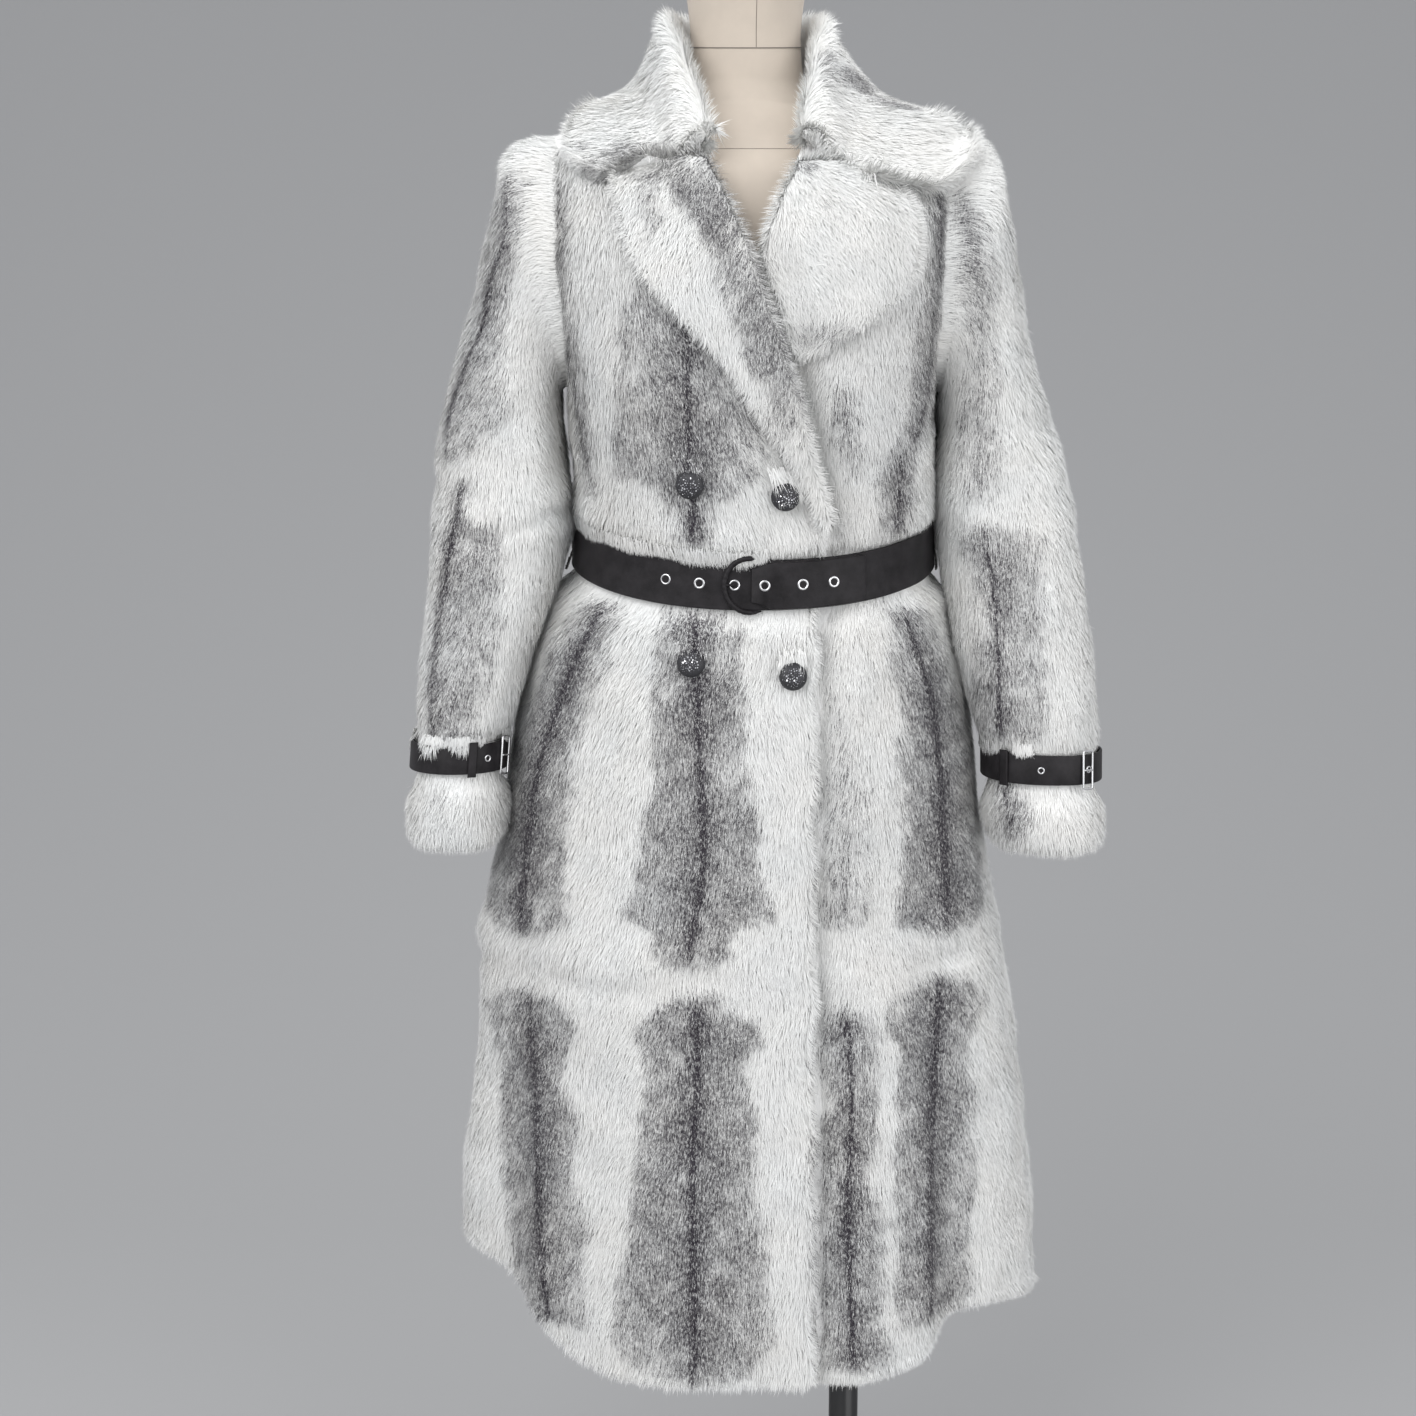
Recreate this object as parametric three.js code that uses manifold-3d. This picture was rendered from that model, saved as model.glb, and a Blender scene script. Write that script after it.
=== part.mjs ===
// A double-breasted, belted fur coat with a notched collar, on a limbless dress form.
// Millimetres, +Z up. The origin is the centre of the stand's underside, and the coat's
// front faces -Y, so +X is the wearer's left.
import * as THREE from 'three';
import Module from 'manifold-3d';

const wasm = await Module();
wasm.setup();

// Driving sizes
const FUR = 12;                 // skin and pile of one layer of the coat
const SEAM = 0.3;               // clearance between neighbouring pieces
const HEM_LEVEL = 342;          // height of the front hem
const NECK_LEVEL = 1450;        // height of the seam that joins collar and body
const CHEST_LEVEL = 1200;       // the collar lies on what is above this
const WAIST_LEVEL = 1045;
const BELT_WIDTH = 44;
const LEATHER = 3;
const FACET_LIFT = 0.75;         // what lies on a curved face clears its flat facets
const BUTTON_RADIUS = 12.5;
const BUTTON_HEIGHT = 8;
const EYELET_RADIUS = 3.9;
const EYELET_WIRE = 1.2;
const BASE_RADIUS = 210;
const BASE_THICKNESS = 10;
const POST_RADIUS = 14;
const POST_X = 95;
const POST_Y = 8;
const FORM_BOTTOM = 790;
const NECK_X = -3;
const COLLAR_STAND = 60;        // height of the stand where it is full
const COLLAR_ROUND = 15;        // width of the rounded fold on top
const COLLAR_SAG = 0.14;        // hollow of the fall, as a share of its width
const NEAR = 3;                 // reach over which a face's direction is measured
const WAIST_TILT = 0.15;        // the waist sits lower in front: rise for each mm to the back
const WAIST_RISE = 11.5;        // and its sides sit higher than a plane through it
const WAIST_DEPTH = 131;
const WAIST_LIFT = 4;           // the belt pulls the whole waist up a little
const WAIST_TILT_REACH = 110;   // both fade over such a height
const HEM_EASE = 1.6;           // how quickly the hem's rise fades upwards
const FORM_SIDES = 40;
const SLEEVE_SQUARE = 2.2;
const SLEEVE_SIDES = 22;
const STRAP_LEATHER = 2.4;
const KEEPER_HALF_TURN = 4.5;   // degrees round the sleeve
const LOOP_THICKNESS = 1.6;
const KEEPER_LEATHER = 2;
const CUFF_BUCKLE_LIFT = 0.6;   // above the strap's outer face, in the middle of the buckle
const BUCKLE = { x: -0.5, halfWidth: 21, halfHeight: 23, wire: 2.3 };
const CUFF_BUCKLE = { width: 13, height: 35, wire: 2.2 };

// Outer face of the coat, ring by ring. front and back are depths from the middle plane,
// square is the exponent of the ring's rounded outline (2 is an ellipse).
const RINGS = [
  { level: 342, halfWidth: 269, front: 214, back: 236, centre: 4, square: 2.15 },
  { level: 440, halfWidth: 267, front: 205, back: 226, centre: 3, square: 2.15 },
  { level: 520, halfWidth: 260, front: 197, back: 215, centre: 2, square: 2.15 },
  { level: 610, halfWidth: 251, front: 187, back: 202, centre: 0, square: 2.15 },
  { level: 700, halfWidth: 241, front: 176, back: 189, centre: -5, square: 2.15 },
  { level: 760, halfWidth: 230, front: 169, back: 180, centre: -6, square: 2.15 },
  { level: 820, halfWidth: 219, front: 163, back: 170, centre: -5, square: 2.15 },
  { level: 892, halfWidth: 211, front: 156, back: 157, centre: -4, square: 2.15 },
  { level: 966, halfWidth: 193, front: 147, back: 138, centre: -3, square: 2.15 },
  { level: 1005, halfWidth: 176, front: 140, back: 124, centre: 1, square: 2.2 },
  { level: 1026, halfWidth: 160, front: 133, back: 113, centre: 5, square: 2.2 },
  { level: 1045, halfWidth: 158, front: 132, back: 111, centre: 6, square: 2.2 },
  { level: 1064, halfWidth: 158, front: 132.5, back: 112, centre: 6, square: 2.2 },
  { level: 1080, halfWidth: 161, front: 140, back: 116, centre: 6, square: 2.25 },
  { level: 1110, halfWidth: 157, front: 143, back: 119, centre: 5, square: 2.4 },
  { level: 1150, halfWidth: 160, front: 147, back: 124, centre: 3, square: 2.6 },
  { level: 1200, halfWidth: 165, front: 152, back: 130, centre: 2, square: 2.8 },
  { level: 1260, halfWidth: 174, front: 155, back: 136, centre: 2, square: 3 },
  { level: 1310, halfWidth: 181, front: 150, back: 135, centre: 1, square: 3 },
  { level: 1350, halfWidth: 185, front: 134, back: 128, centre: 1, square: 2.9 },
  { level: 1380, halfWidth: 187, front: 115, back: 118, centre: 1, square: 2.7 },
  { level: 1402, halfWidth: 186, front: 96, back: 104, centre: 1, square: 2.5 },
  { level: 1416, halfWidth: 180, front: 82, back: 91, centre: 1, square: 2.4 },
  { level: 1428, halfWidth: 146, front: 74, back: 80, centre: 0, square: 2.3 },
  { level: 1440, halfWidth: 106, front: 67, back: 70, centre: -1, square: 2.2 },
  { level: 1450, halfWidth: 70, front: 60, back: 62, centre: -3, square: 2.1 },
];

// Height of the hem round the skirt. turn is 0 at the front and 90 at the wearer's left.
const HEM = [
  { turn: -180, height: 352 },
  { turn: -135, height: 372 },
  { turn: -95, height: 428 },
  { turn: -65, height: 424 },
  { turn: -47, height: 388 },
  { turn: -30, height: 348 },
  { turn: 0, height: 342 },
  { turn: 28, height: 350 },
  { turn: 42, height: 386 },
  { turn: 60, height: 388 },
  { turn: 90, height: 362 },
  { turn: 135, height: 350 },
  { turn: 180, height: 352 },
];
const HEM_REACH = 620;          // above this level the rings are level again

// Soft vertical folds of the skirt: depth at the hem, half width in degrees of turn
const FOLDS = [
  { turn: 43, width: 11, depth: -17, top: 900 },
  { turn: 62, width: 13, depth: 7, top: 860 },
  { turn: -56, width: 12, depth: -12, top: 880 },
  { turn: -74, width: 12, depth: 7, top: 800 },
  { turn: 112, width: 14, depth: -13, top: 880 },
  { turn: 138, width: 14, depth: 8, top: 860 },
  { turn: 165, width: 13, depth: -12, top: 840 },
  { turn: -160, width: 14, depth: 9, top: 860 },
  { turn: -133, width: 14, depth: -13, top: 880 },
  { turn: -108, width: 13, depth: 8, top: 820 },
];

// Free edges of the two fronts: straight below the waist, then along the roll of the lapel
const OVER_EDGE = [
  { level: 342, x: 57 },
  { level: 1030, x: 59 },
  { level: 1090, x: 66 },
  { level: 1193, x: 41 },
  { level: 1309, x: 1 },
  { level: 1402, x: -40 },
  { level: 1450, x: -58 },
];
const UNDER_EDGE = [
  { level: 342, x: -50 },
  { level: 1030, x: -50 },
  { level: 1090, x: -50 },
  { level: 1193, x: -34 },
  { level: 1309, x: 3 },
  { level: 1402, x: 44 },
  { level: 1450, x: 52 },
];
const UNDER_START = 3;          // how far past the upper front's edge the lower one starts to rise
const UNDER_RISE = 38;          // width over which the lower front comes up beside the edge

// Lapels: the roll line and the free edge at each level
const LAPEL_OVER = [
  { level: 1092, roll: 66, edge: 61 },
  { level: 1118, roll: 60, edge: 49 },
  { level: 1150, roll: 52, edge: 26 },
  { level: 1180, roll: 45, edge: 4 },
  { level: 1215, roll: 33, edge: -22 },
  { level: 1250, roll: 21, edge: -54 },
  { level: 1280, roll: 11, edge: -84 },
  { level: 1305, roll: 2, edge: -100 },
  { level: 1340, roll: -13, edge: -112 },
  { level: 1368, roll: -25, edge: -114 },
  { level: 1388, roll: -34, edge: -92 },
];
const LAPEL_UNDER = [
  { level: 1222, roll: 33, edge: 44 },
  { level: 1236, roll: 28, edge: 70 },
  { level: 1252, roll: 23, edge: 98 },
  { level: 1270, roll: 17, edge: 124 },
  { level: 1290, roll: 10, edge: 136 },
  { level: 1315, roll: 6, edge: 140 },
  { level: 1345, roll: 19, edge: 136 },
  { level: 1368, roll: 30, edge: 112 },
  { level: 1384, roll: 37, edge: 84 },
];
const LAPEL_FUR = 11;

// Sleeve sections: the point next to the body, the outermost point, the half depth and
// the shift along Y. Both sleeves run from the armhole to the cuff.
const SLEEVE_LEFT = [
  { inX: 166, inZ: 1192, outX: 183, outZ: 1417, depth: 88, y: 0 },
  { inX: 168, inZ: 1182, outX: 206, outZ: 1411, depth: 86, y: 0 },
  { inX: 170, inZ: 1170, outX: 223, outZ: 1388, depth: 82, y: -2 },
  { inX: 172, inZ: 1152, outX: 238, outZ: 1310, depth: 76, y: -4 },
  { inX: 172, inZ: 1118, outX: 257, outZ: 1212, depth: 71, y: -10 },
  { inX: 172, inZ: 1084, outX: 279, outZ: 1146, depth: 67, y: -17 },
  { inX: 174, inZ: 1052, outX: 290, outZ: 1098, depth: 65, y: -24 },
  { inX: 183, inZ: 1004, outX: 300, outZ: 1035, depth: 63, y: -33 },
  { inX: 196, inZ: 952, outX: 309, outZ: 964, depth: 61, y: -43 },
  { inX: 204, inZ: 905, outX: 313, outZ: 906, depth: 59, y: -52 },
  { inX: 211, inZ: 880, outX: 313, outZ: 878, depth: 54, y: -56 },
  { inX: 211, inZ: 852, outX: 313, outZ: 850, depth: 54, y: -59 },
  { inX: 208, inZ: 826, outX: 317, outZ: 826, depth: 59, y: -62 },
  { inX: 212, inZ: 804, outX: 318, outZ: 804, depth: 58, y: -64 },
  { inX: 220, inZ: 793, outX: 311, outZ: 793, depth: 52, y: -64 },
];
const SLEEVE_RIGHT = [
  { inX: 163, inZ: 1192, outX: 181, outZ: 1417, depth: 88, y: 0 },
  { inX: 166, inZ: 1182, outX: 204, outZ: 1410, depth: 86, y: 0 },
  { inX: 168, inZ: 1170, outX: 220, outZ: 1389, depth: 82, y: -2 },
  { inX: 169, inZ: 1152, outX: 236, outZ: 1315, depth: 76, y: -4 },
  { inX: 168, inZ: 1122, outX: 259, outZ: 1226, depth: 71, y: -10 },
  { inX: 164, inZ: 1090, outX: 277, outZ: 1152, depth: 67, y: -17 },
  { inX: 163, inZ: 1062, outX: 283, outZ: 1096, depth: 65, y: -24 },
  { inX: 173, inZ: 1014, outX: 288, outZ: 1024, depth: 63, y: -33 },
  { inX: 191, inZ: 964, outX: 294, outZ: 956, depth: 60, y: -43 },
  { inX: 205, inZ: 914, outX: 297, outZ: 909, depth: 57, y: -52 },
  { inX: 215, inZ: 888, outX: 298, outZ: 887, depth: 51, y: -56 },
  { inX: 217, inZ: 860, outX: 300, outZ: 860, depth: 51, y: -59 },
  { inX: 213, inZ: 834, outX: 306, outZ: 835, depth: 57, y: -62 },
  { inX: 214, inZ: 809, outX: 307, outZ: 808, depth: 57, y: -64 },
  { inX: 221, inZ: 797, outX: 300, outZ: 796, depth: 51, y: -64 },
];
const STRAP_ROWS = [10, 11];    // sleeve sections between which the cuff strap lies

// Collar stations round the neck, from the wearer's right front round the back to the left
// front: where it joins the body, the fold on top, and the free edge.
const COLLAR = [
  { neck: [-40, -97, 1398], fold: [-34, -112, 1402], edge: [-90, -126, 1387] },
  { neck: [-50, -80, 1421], fold: [-42, -88, 1436], edge: [-126, -118, 1368] },
  { neck: [-62, -48, 1441], fold: [-55, -52, 1480], edge: [-158, -76, 1390] },
  { neck: [-70, -8, 1452], fold: [-63, -8, 1512], edge: [-136, -8, 1436] },
  { neck: [-56, 38, 1453], fold: [-52, 40, 1517], edge: [-118, 84, 1426] },
  { neck: [-3, 62, 1453], fold: [-3, 64, 1518], edge: [-3, 137, 1410] },
  { neck: [50, 38, 1453], fold: [46, 40, 1517], edge: [124, 86, 1426] },
  { neck: [64, -8, 1452], fold: [57, -8, 1511], edge: [172, 8, 1430] },
  { neck: [58, -46, 1441], fold: [53, -50, 1478], edge: [206, -56, 1400] },
  { neck: [52, -78, 1421], fold: [47, -86, 1438], edge: [168, -108, 1362] },
  { neck: [46, -95, 1399], fold: [41, -110, 1404], edge: [104, -130, 1372] },
];

const BUTTON_LIFT = 0.35;
const BUTTONS = [
  { x: -51, level: 1125.5 },
  { x: 29, level: 1117.5 },
  { x: -50, level: 976 },
  { x: 36, level: 964 },
];
const TONGUE = { from: 1.5, to: 96 };          // reach of the belt's free end along X
const EYELETS = [
  { x: -70.5, onTongue: false },
  { x: -42.5, onTongue: false },
  { x: -13.2, onTongue: false },
  { x: 12, onTongue: true },
  { x: 43.5, onTongue: true },
  { x: 69, onTongue: true },
];

// How far the form lies inside the coat's outer face: it carries the coat at the shoulders
const FORM_INSET = [
  { level: 790, inset: 72 },
  { level: 880, inset: 62 },
  { level: 966, inset: 48 },
  { level: 1045, inset: 36 },
  { level: 1110, inset: 31 },
  { level: 1200, inset: 30 },
  { level: 1310, inset: 31 },
  { level: 1345, inset: 28 },
  { level: 1378, inset: 20 },
  { level: 1402, inset: 13.4 },
  { level: 1428, inset: 13.3 },
  { level: 1450, inset: 13.4 },
];
const NECK = [
  { level: 1457, halfWidth: 53, front: 45, back: 49 },
  { level: 1474, halfWidth: 50, front: 45, back: 49 },
  { level: 1500, halfWidth: 48.5, front: 45, back: 49 },
  { level: 1527, halfWidth: 51, front: 48, back: 51 },
  { level: 1550, halfWidth: 55, front: 51, back: 53 },
  { level: 1566, halfWidth: 56, front: 52, back: 54 },
];

const FINISH = {
  fur: { color: 0xe9e8e6, roughness: 0.9, metalness: 0 },
  leather: { color: 0x252327, roughness: 0.5, metalness: 0 },
  silver: { color: 0xc4c4c6, roughness: 0.25, metalness: 1 },
  thread: { color: 0xb9b8b4, roughness: 0.8, metalness: 0 },
  linen: { color: 0xd8ccbb, roughness: 0.85, metalness: 0 },
  gunmetal: { color: 0x4a4a50, roughness: 0.3, metalness: 0.8 },
  black: { color: 0x101012, roughness: 0.35, metalness: 0.2 },
};

const coat = new THREE.Group();
coat.name = 'fur_coat_on_dress_form';

function addPiece(name, geometry, finish) {
  const mesh = new THREE.Mesh(geometry, new THREE.MeshStandardMaterial(FINISH[finish]));
  mesh.name = name;
  coat.add(mesh);
  return mesh;
}

// Reads a table at any value of its first column, with smooth curves between the rows
function readTable(table, value) {
  const key = Object.keys(table[0])[0];
  const last = table.length - 1;
  let i = 0;
  while (i < last - 1 && value > table[i + 1][key]) i += 1;
  const span = table[i + 1][key] - table[i][key];
  const t = THREE.MathUtils.clamp((value - table[i][key]) / span, 0, 1);
  const slope = (k, column) => {
    const before = table[Math.max(k - 1, 0)];
    const after = table[Math.min(k + 1, last)];
    return (after[column] - before[column]) / (after[key] - before[key]);
  };
  const row = {};
  for (const column of Object.keys(table[0])) {
    const a = table[i][column];
    const b = table[i + 1][column];
    const m = slope(i, column) * span;
    const n = slope(i + 1, column) * span;
    const t2 = t * t;
    const t3 = t2 * t;
    row[column] = (2 * t3 - 3 * t2 + 1) * a + (t3 - 2 * t2 + t) * m + (3 * t2 - 2 * t3) * b + (t3 - t2) * n;
  }
  return row;
}

const signedPower = (value, power) => Math.sign(value) * Math.abs(value) ** power;
const smooth = (t) => THREE.MathUtils.smoothstep(t, 0, 1);

// A point on the outer face of the coat
function coatFace(turn, level) {
  const ring = readTable(RINGS, level);
  const angle = THREE.MathUtils.degToRad(turn);
  const power = 2 / ring.square;
  const depth = Math.cos(angle) > 0 ? ring.front : ring.back;
  const point = new THREE.Vector3(
    ring.halfWidth * signedPower(Math.sin(angle), power),
    -depth * signedPower(Math.cos(angle), power),
    level,
  );
  const wrapped = ((turn + 540) % 360) - 180;
  let swell = 0;
  for (const fold of FOLDS) {
    const away = Math.abs(wrapped - fold.turn) / fold.width;
    const fall = smooth((fold.top - level) / (fold.top - HEM_LEVEL));
    if (away < 1) swell += fold.depth * fall * (0.5 + 0.5 * Math.cos(Math.PI * away));
  }
  const flat = Math.hypot(point.x, point.y);
  point.x *= 1 + swell / flat;
  point.y *= 1 + swell / flat;
  point.x += ring.centre;
  if (level < HEM_REACH) {
    const hem = readTable(HEM, wrapped).height;
    const share = (HEM_REACH - level) / (HEM_REACH - HEM_LEVEL);
    point.z += (hem - HEM_LEVEL) * share ** HEM_EASE;
  }
  const nearWaist = Math.exp(-(((level - WAIST_LEVEL) / WAIST_TILT_REACH) ** 2));
  const rise = WAIST_RISE * (1 - (point.y / WAIST_DEPTH) ** 2);
  point.z += nearWaist * (WAIST_TILT * point.y + rise + WAIST_LIFT);
  return point;
}

// The outward direction there, from its neighbours
function coatNormal(turn, level) {
  const low = Math.max(level - NEAR, HEM_LEVEL);
  const high = Math.min(level + NEAR, NECK_LEVEL);
  const along = coatFace(turn + 1, level).sub(coatFace(turn - 1, level));
  const up = coatFace(turn, high).sub(coatFace(turn, low));
  return along.cross(up).normalize();
}

function coatPoint(turn, level, lift = 0, sideways = 0) {
  const point = coatFace(turn, level).addScaledVector(coatNormal(turn, level), lift);
  if (sideways) {
    const along = coatFace(turn + 1, level).sub(coatFace(turn - 1, level)).normalize();
    point.addScaledVector(along, sideways);
  }
  return point;
}

// The turn at which a ring of the coat's front passes a given x
function turnAt(x, level) {
  const ring = readTable(RINGS, level);
  const share = THREE.MathUtils.clamp((x - ring.centre) / ring.halfWidth, -1, 1);
  return THREE.MathUtils.radToDeg(Math.asin(signedPower(share, ring.square / 2)));
}

// Closed wall between two grids of points with the same rows and columns
function wall(outer, inner, around = false) {
  const rows = outer.length;
  const columns = outer[0].length;
  const points = [...outer.flat(), ...inner.flat()];
  const at = (side, i, j) => side * rows * columns + i * columns + (j % columns);
  const index = [];
  const quad = (a, b, c, d) => index.push(a, b, c, a, c, d);
  const steps = around ? columns : columns - 1;
  for (let i = 0; i < rows - 1; i += 1) {
    for (let j = 0; j < steps; j += 1) {
      quad(at(0, i, j), at(0, i, j + 1), at(0, i + 1, j + 1), at(0, i + 1, j));
      quad(at(1, i, j), at(1, i + 1, j), at(1, i + 1, j + 1), at(1, i, j + 1));
    }
  }
  for (let j = 0; j < steps; j += 1) {
    quad(at(0, 0, j), at(1, 0, j), at(1, 0, j + 1), at(0, 0, j + 1));
    quad(at(0, rows - 1, j), at(0, rows - 1, j + 1), at(1, rows - 1, j + 1), at(1, rows - 1, j));
  }
  if (!around) {
    for (let i = 0; i < rows - 1; i += 1) {
      quad(at(0, i, 0), at(0, i + 1, 0), at(1, i + 1, 0), at(1, i, 0));
      quad(at(0, i, steps), at(1, i, steps), at(1, i + 1, steps), at(0, i + 1, steps));
    }
  }
  return outward(points, index);
}

// Closed plug through rings of points, with a flat fan at each end
function plug(rings) {
  const columns = rings[0].length;
  const points = rings.flat();
  const index = [];
  for (let i = 0; i < rings.length - 1; i += 1) {
    for (let j = 0; j < columns; j += 1) {
      const k = (j + 1) % columns;
      const a = i * columns;
      const b = a + columns;
      index.push(a + j, a + k, b + k, a + j, b + k, b + j);
    }
  }
  for (const [i, flip] of [[0, true], [rings.length - 1, false]]) {
    const middle = points.length;
    points.push(rings[i].reduce((sum, p) => sum.add(p), new THREE.Vector3()).divideScalar(columns));
    for (let j = 0; j < columns; j += 1) {
      const a = i * columns + j;
      const b = i * columns + ((j + 1) % columns);
      if (flip) index.push(middle, b, a);
      else index.push(middle, a, b);
    }
  }
  return outward(points, index);
}

// Points and triangles turned so that the faces look out
function outward(points, index) {
  let volume = 0;
  for (let i = 0; i < index.length; i += 3) {
    const [a, b, c] = [points[index[i]], points[index[i + 1]], points[index[i + 2]]];
    volume += a.dot(b.clone().cross(c));
  }
  const triangles = volume < 0 ? index.slice().reverse() : index;
  return { points, triangles };
}

function toSolid({ points, triangles }) {
  return new wasm.Manifold(new wasm.Mesh({
    numProp: 3,
    vertProperties: new Float32Array(points.flatMap((p) => [p.x, p.y, p.z])),
    triVerts: new Uint32Array(triangles),
  }));
}

function toGeometry({ points, triangles }) {
  const geometry = new THREE.BufferGeometry();
  const positions = points.flatMap((p) => [p.x, p.y, p.z]);
  geometry.setAttribute('position', new THREE.Float32BufferAttribute(positions, 3));
  geometry.setIndex(triangles);
  return geometry;
}

// The largest body of a cut solid, as a geometry
function cutGeometry(solid) {
  const largest = solid.decompose().sort((a, b) => b.volume() - a.volume())[0];
  const mesh = largest.getMesh();
  const geometry = new THREE.BufferGeometry();
  geometry.setAttribute('position', new THREE.Float32BufferAttribute(mesh.vertProperties, 3));
  geometry.setIndex(Array.from(mesh.triVerts));
  return geometry;
}

// Evenly spaced values, both ends included
function steps(from, to, count) {
  return Array.from({ length: count + 1 }, (_, i) => from + (to - from) * i / count);
}

// Turns round a closed ring, without the last one, which is the first again
function turnsAround(count) {
  return steps(0, 360, count).slice(0, count);
}

// Rings of one sleeve. grow moves them out, and side is 1 for the wearer's left.
function sleeveRings(table, side, grow, count = SLEEVE_SIDES) {
  return table.map((row, i) => {
    const inner = new THREE.Vector3(side * row.inX, row.y, row.inZ);
    const outer = new THREE.Vector3(side * row.outX, row.y, row.outZ);
    const middle = inner.clone().add(outer).divideScalar(2);
    const across = outer.clone().sub(middle);
    const reach = across.length() + grow;
    across.normalize();
    if (i === 0 && grow > 0) middle.x -= side * grow;
    return turnsAround(count).map((turn) => {
      const angle = THREE.MathUtils.degToRad(turn);
      const u = signedPower(Math.cos(angle), 2 / SLEEVE_SQUARE) * reach;
      const v = signedPower(Math.sin(angle), 2 / SLEEVE_SQUARE) * (row.depth + grow);
      return middle.clone().addScaledVector(across, u).add(new THREE.Vector3(0, v, 0));
    });
  });
}

// Body panels
const LEVELS = [
  342, 385, 445, 520, 600, 680, 755, 820, 885, 945, 985, 1012, 1026, 1045, 1064, 1082, 1120,
  1180, 1245, 1309, 1350, 1382, 1402, 1416, 1428, 1439, 1450,
];

// Wall of one panel. inset draws its two long edges in, to leave half a seam's clearance.
function panelWall(turnsOf, liftOf, thickness = FUR, inset = SEAM / 2) {
  const face = (extra) => LEVELS.map((level) => {
    const turns = turnsOf(level);
    return turns.map((turn, j) => {
      const sideways = j === 0 ? inset : j === turns.length - 1 ? -inset : 0;
      return coatPoint(turn, level, liftOf(turn, level) + extra, sideways);
    });
  });
  return toSolid(wall(face(0), face(-thickness)));
}

function underLift(turn, level) {
  const beyond = coatFace(turn, level).x - readTable(OVER_EDGE, level).x;
  return -(FUR + SEAM) * (1 - smooth((beyond - UNDER_START) / UNDER_RISE));
}

const sleeveCutters = [
  toSolid(plug(sleeveRings(SLEEVE_LEFT, 1, SEAM))),
  toSolid(plug(sleeveRings(SLEEVE_RIGHT, -1, SEAM))),
];
function throughArmholes(panel) {
  return sleeveCutters.reduce((solid, cutter) => solid.subtract(cutter), panel);
}

const back = throughArmholes(panelWall(() => steps(90, 270, 20), () => 0));

const overTurns = (level) => steps(-90, turnAt(readTable(OVER_EDGE, level).x, level), 12);
const frontRight = throughArmholes(panelWall(overTurns, () => 0));

// The lower front has its columns set by the upper front's edge, where it rises beside it
function underTurns(level) {
  const ring = readTable(RINGS, level);
  const edge = readTable(UNDER_EDGE, level).x;
  const over = readTable(OVER_EDGE, level).x;
  const reach = ring.centre + ring.halfWidth - edge;
  const low = Math.max(over + UNDER_START - 1, edge + 0.12 * reach);
  const high = Math.min(Math.max(over + UNDER_START + UNDER_RISE, low + 0.15 * reach), edge + 0.6 * reach);
  const turn = (x) => turnAt(x, level);
  return [
    ...steps(turn(edge), turn(low), 2),
    ...steps(turn(low), turn(high), 5).slice(1),
    ...steps(turn(high), 90, 7).slice(1),
  ];
}
const overCutter = panelWall(overTurns, () => 0, FUR + SEAM, -SEAM);
const frontLeft = throughArmholes(panelWall(underTurns, underLift).subtract(overCutter));
addPiece('back', cutGeometry(back), 'fur');
addPiece('front_right', cutGeometry(frontRight), 'fur');
addPiece('front_left', cutGeometry(frontLeft), 'fur');

// Sleeves
for (const [name, table, side] of [['sleeve_right', SLEEVE_RIGHT, -1], ['sleeve_left', SLEEVE_LEFT, 1]]) {
  addPiece(name, toGeometry(wall(sleeveRings(table, side, 0), sleeveRings(table, side, -FUR), true)), 'fur');
}

// What the collar lies on: points of the body and of the sleeve heads, with their directions
const upperLevels = LEVELS.filter((level) => level > CHEST_LEVEL);
const bed = upperLevels.flatMap((level) => steps(0, 360, 72)
  .map((turn) => ({ point: coatPoint(turn, level), normal: coatNormal(turn, level) })));
for (const [table, side] of [[SLEEVE_LEFT, 1], [SLEEVE_RIGHT, -1]]) {
  for (const ring of sleeveRings(table, side, 0).slice(0, 4)) {
    const middle = ring.reduce((sum, p) => sum.add(p), new THREE.Vector3()).divideScalar(ring.length);
    for (const point of ring) bed.push({ point, normal: point.clone().sub(middle).normalize() });
  }
}

// Moves a point out of what the collar lies on, to the given clearance
function liftOff(point, clearance) {
  if (clearance === 0) return point;
  let nearest = bed[0];
  for (const spot of bed) {
    if (spot.point.distanceToSquared(point) < nearest.point.distanceToSquared(point)) nearest = spot;
  }
  const height = point.clone().sub(nearest.point).dot(nearest.normal);
  return height < clearance ? point.addScaledVector(nearest.normal, clearance - height) : point;
}

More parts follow.
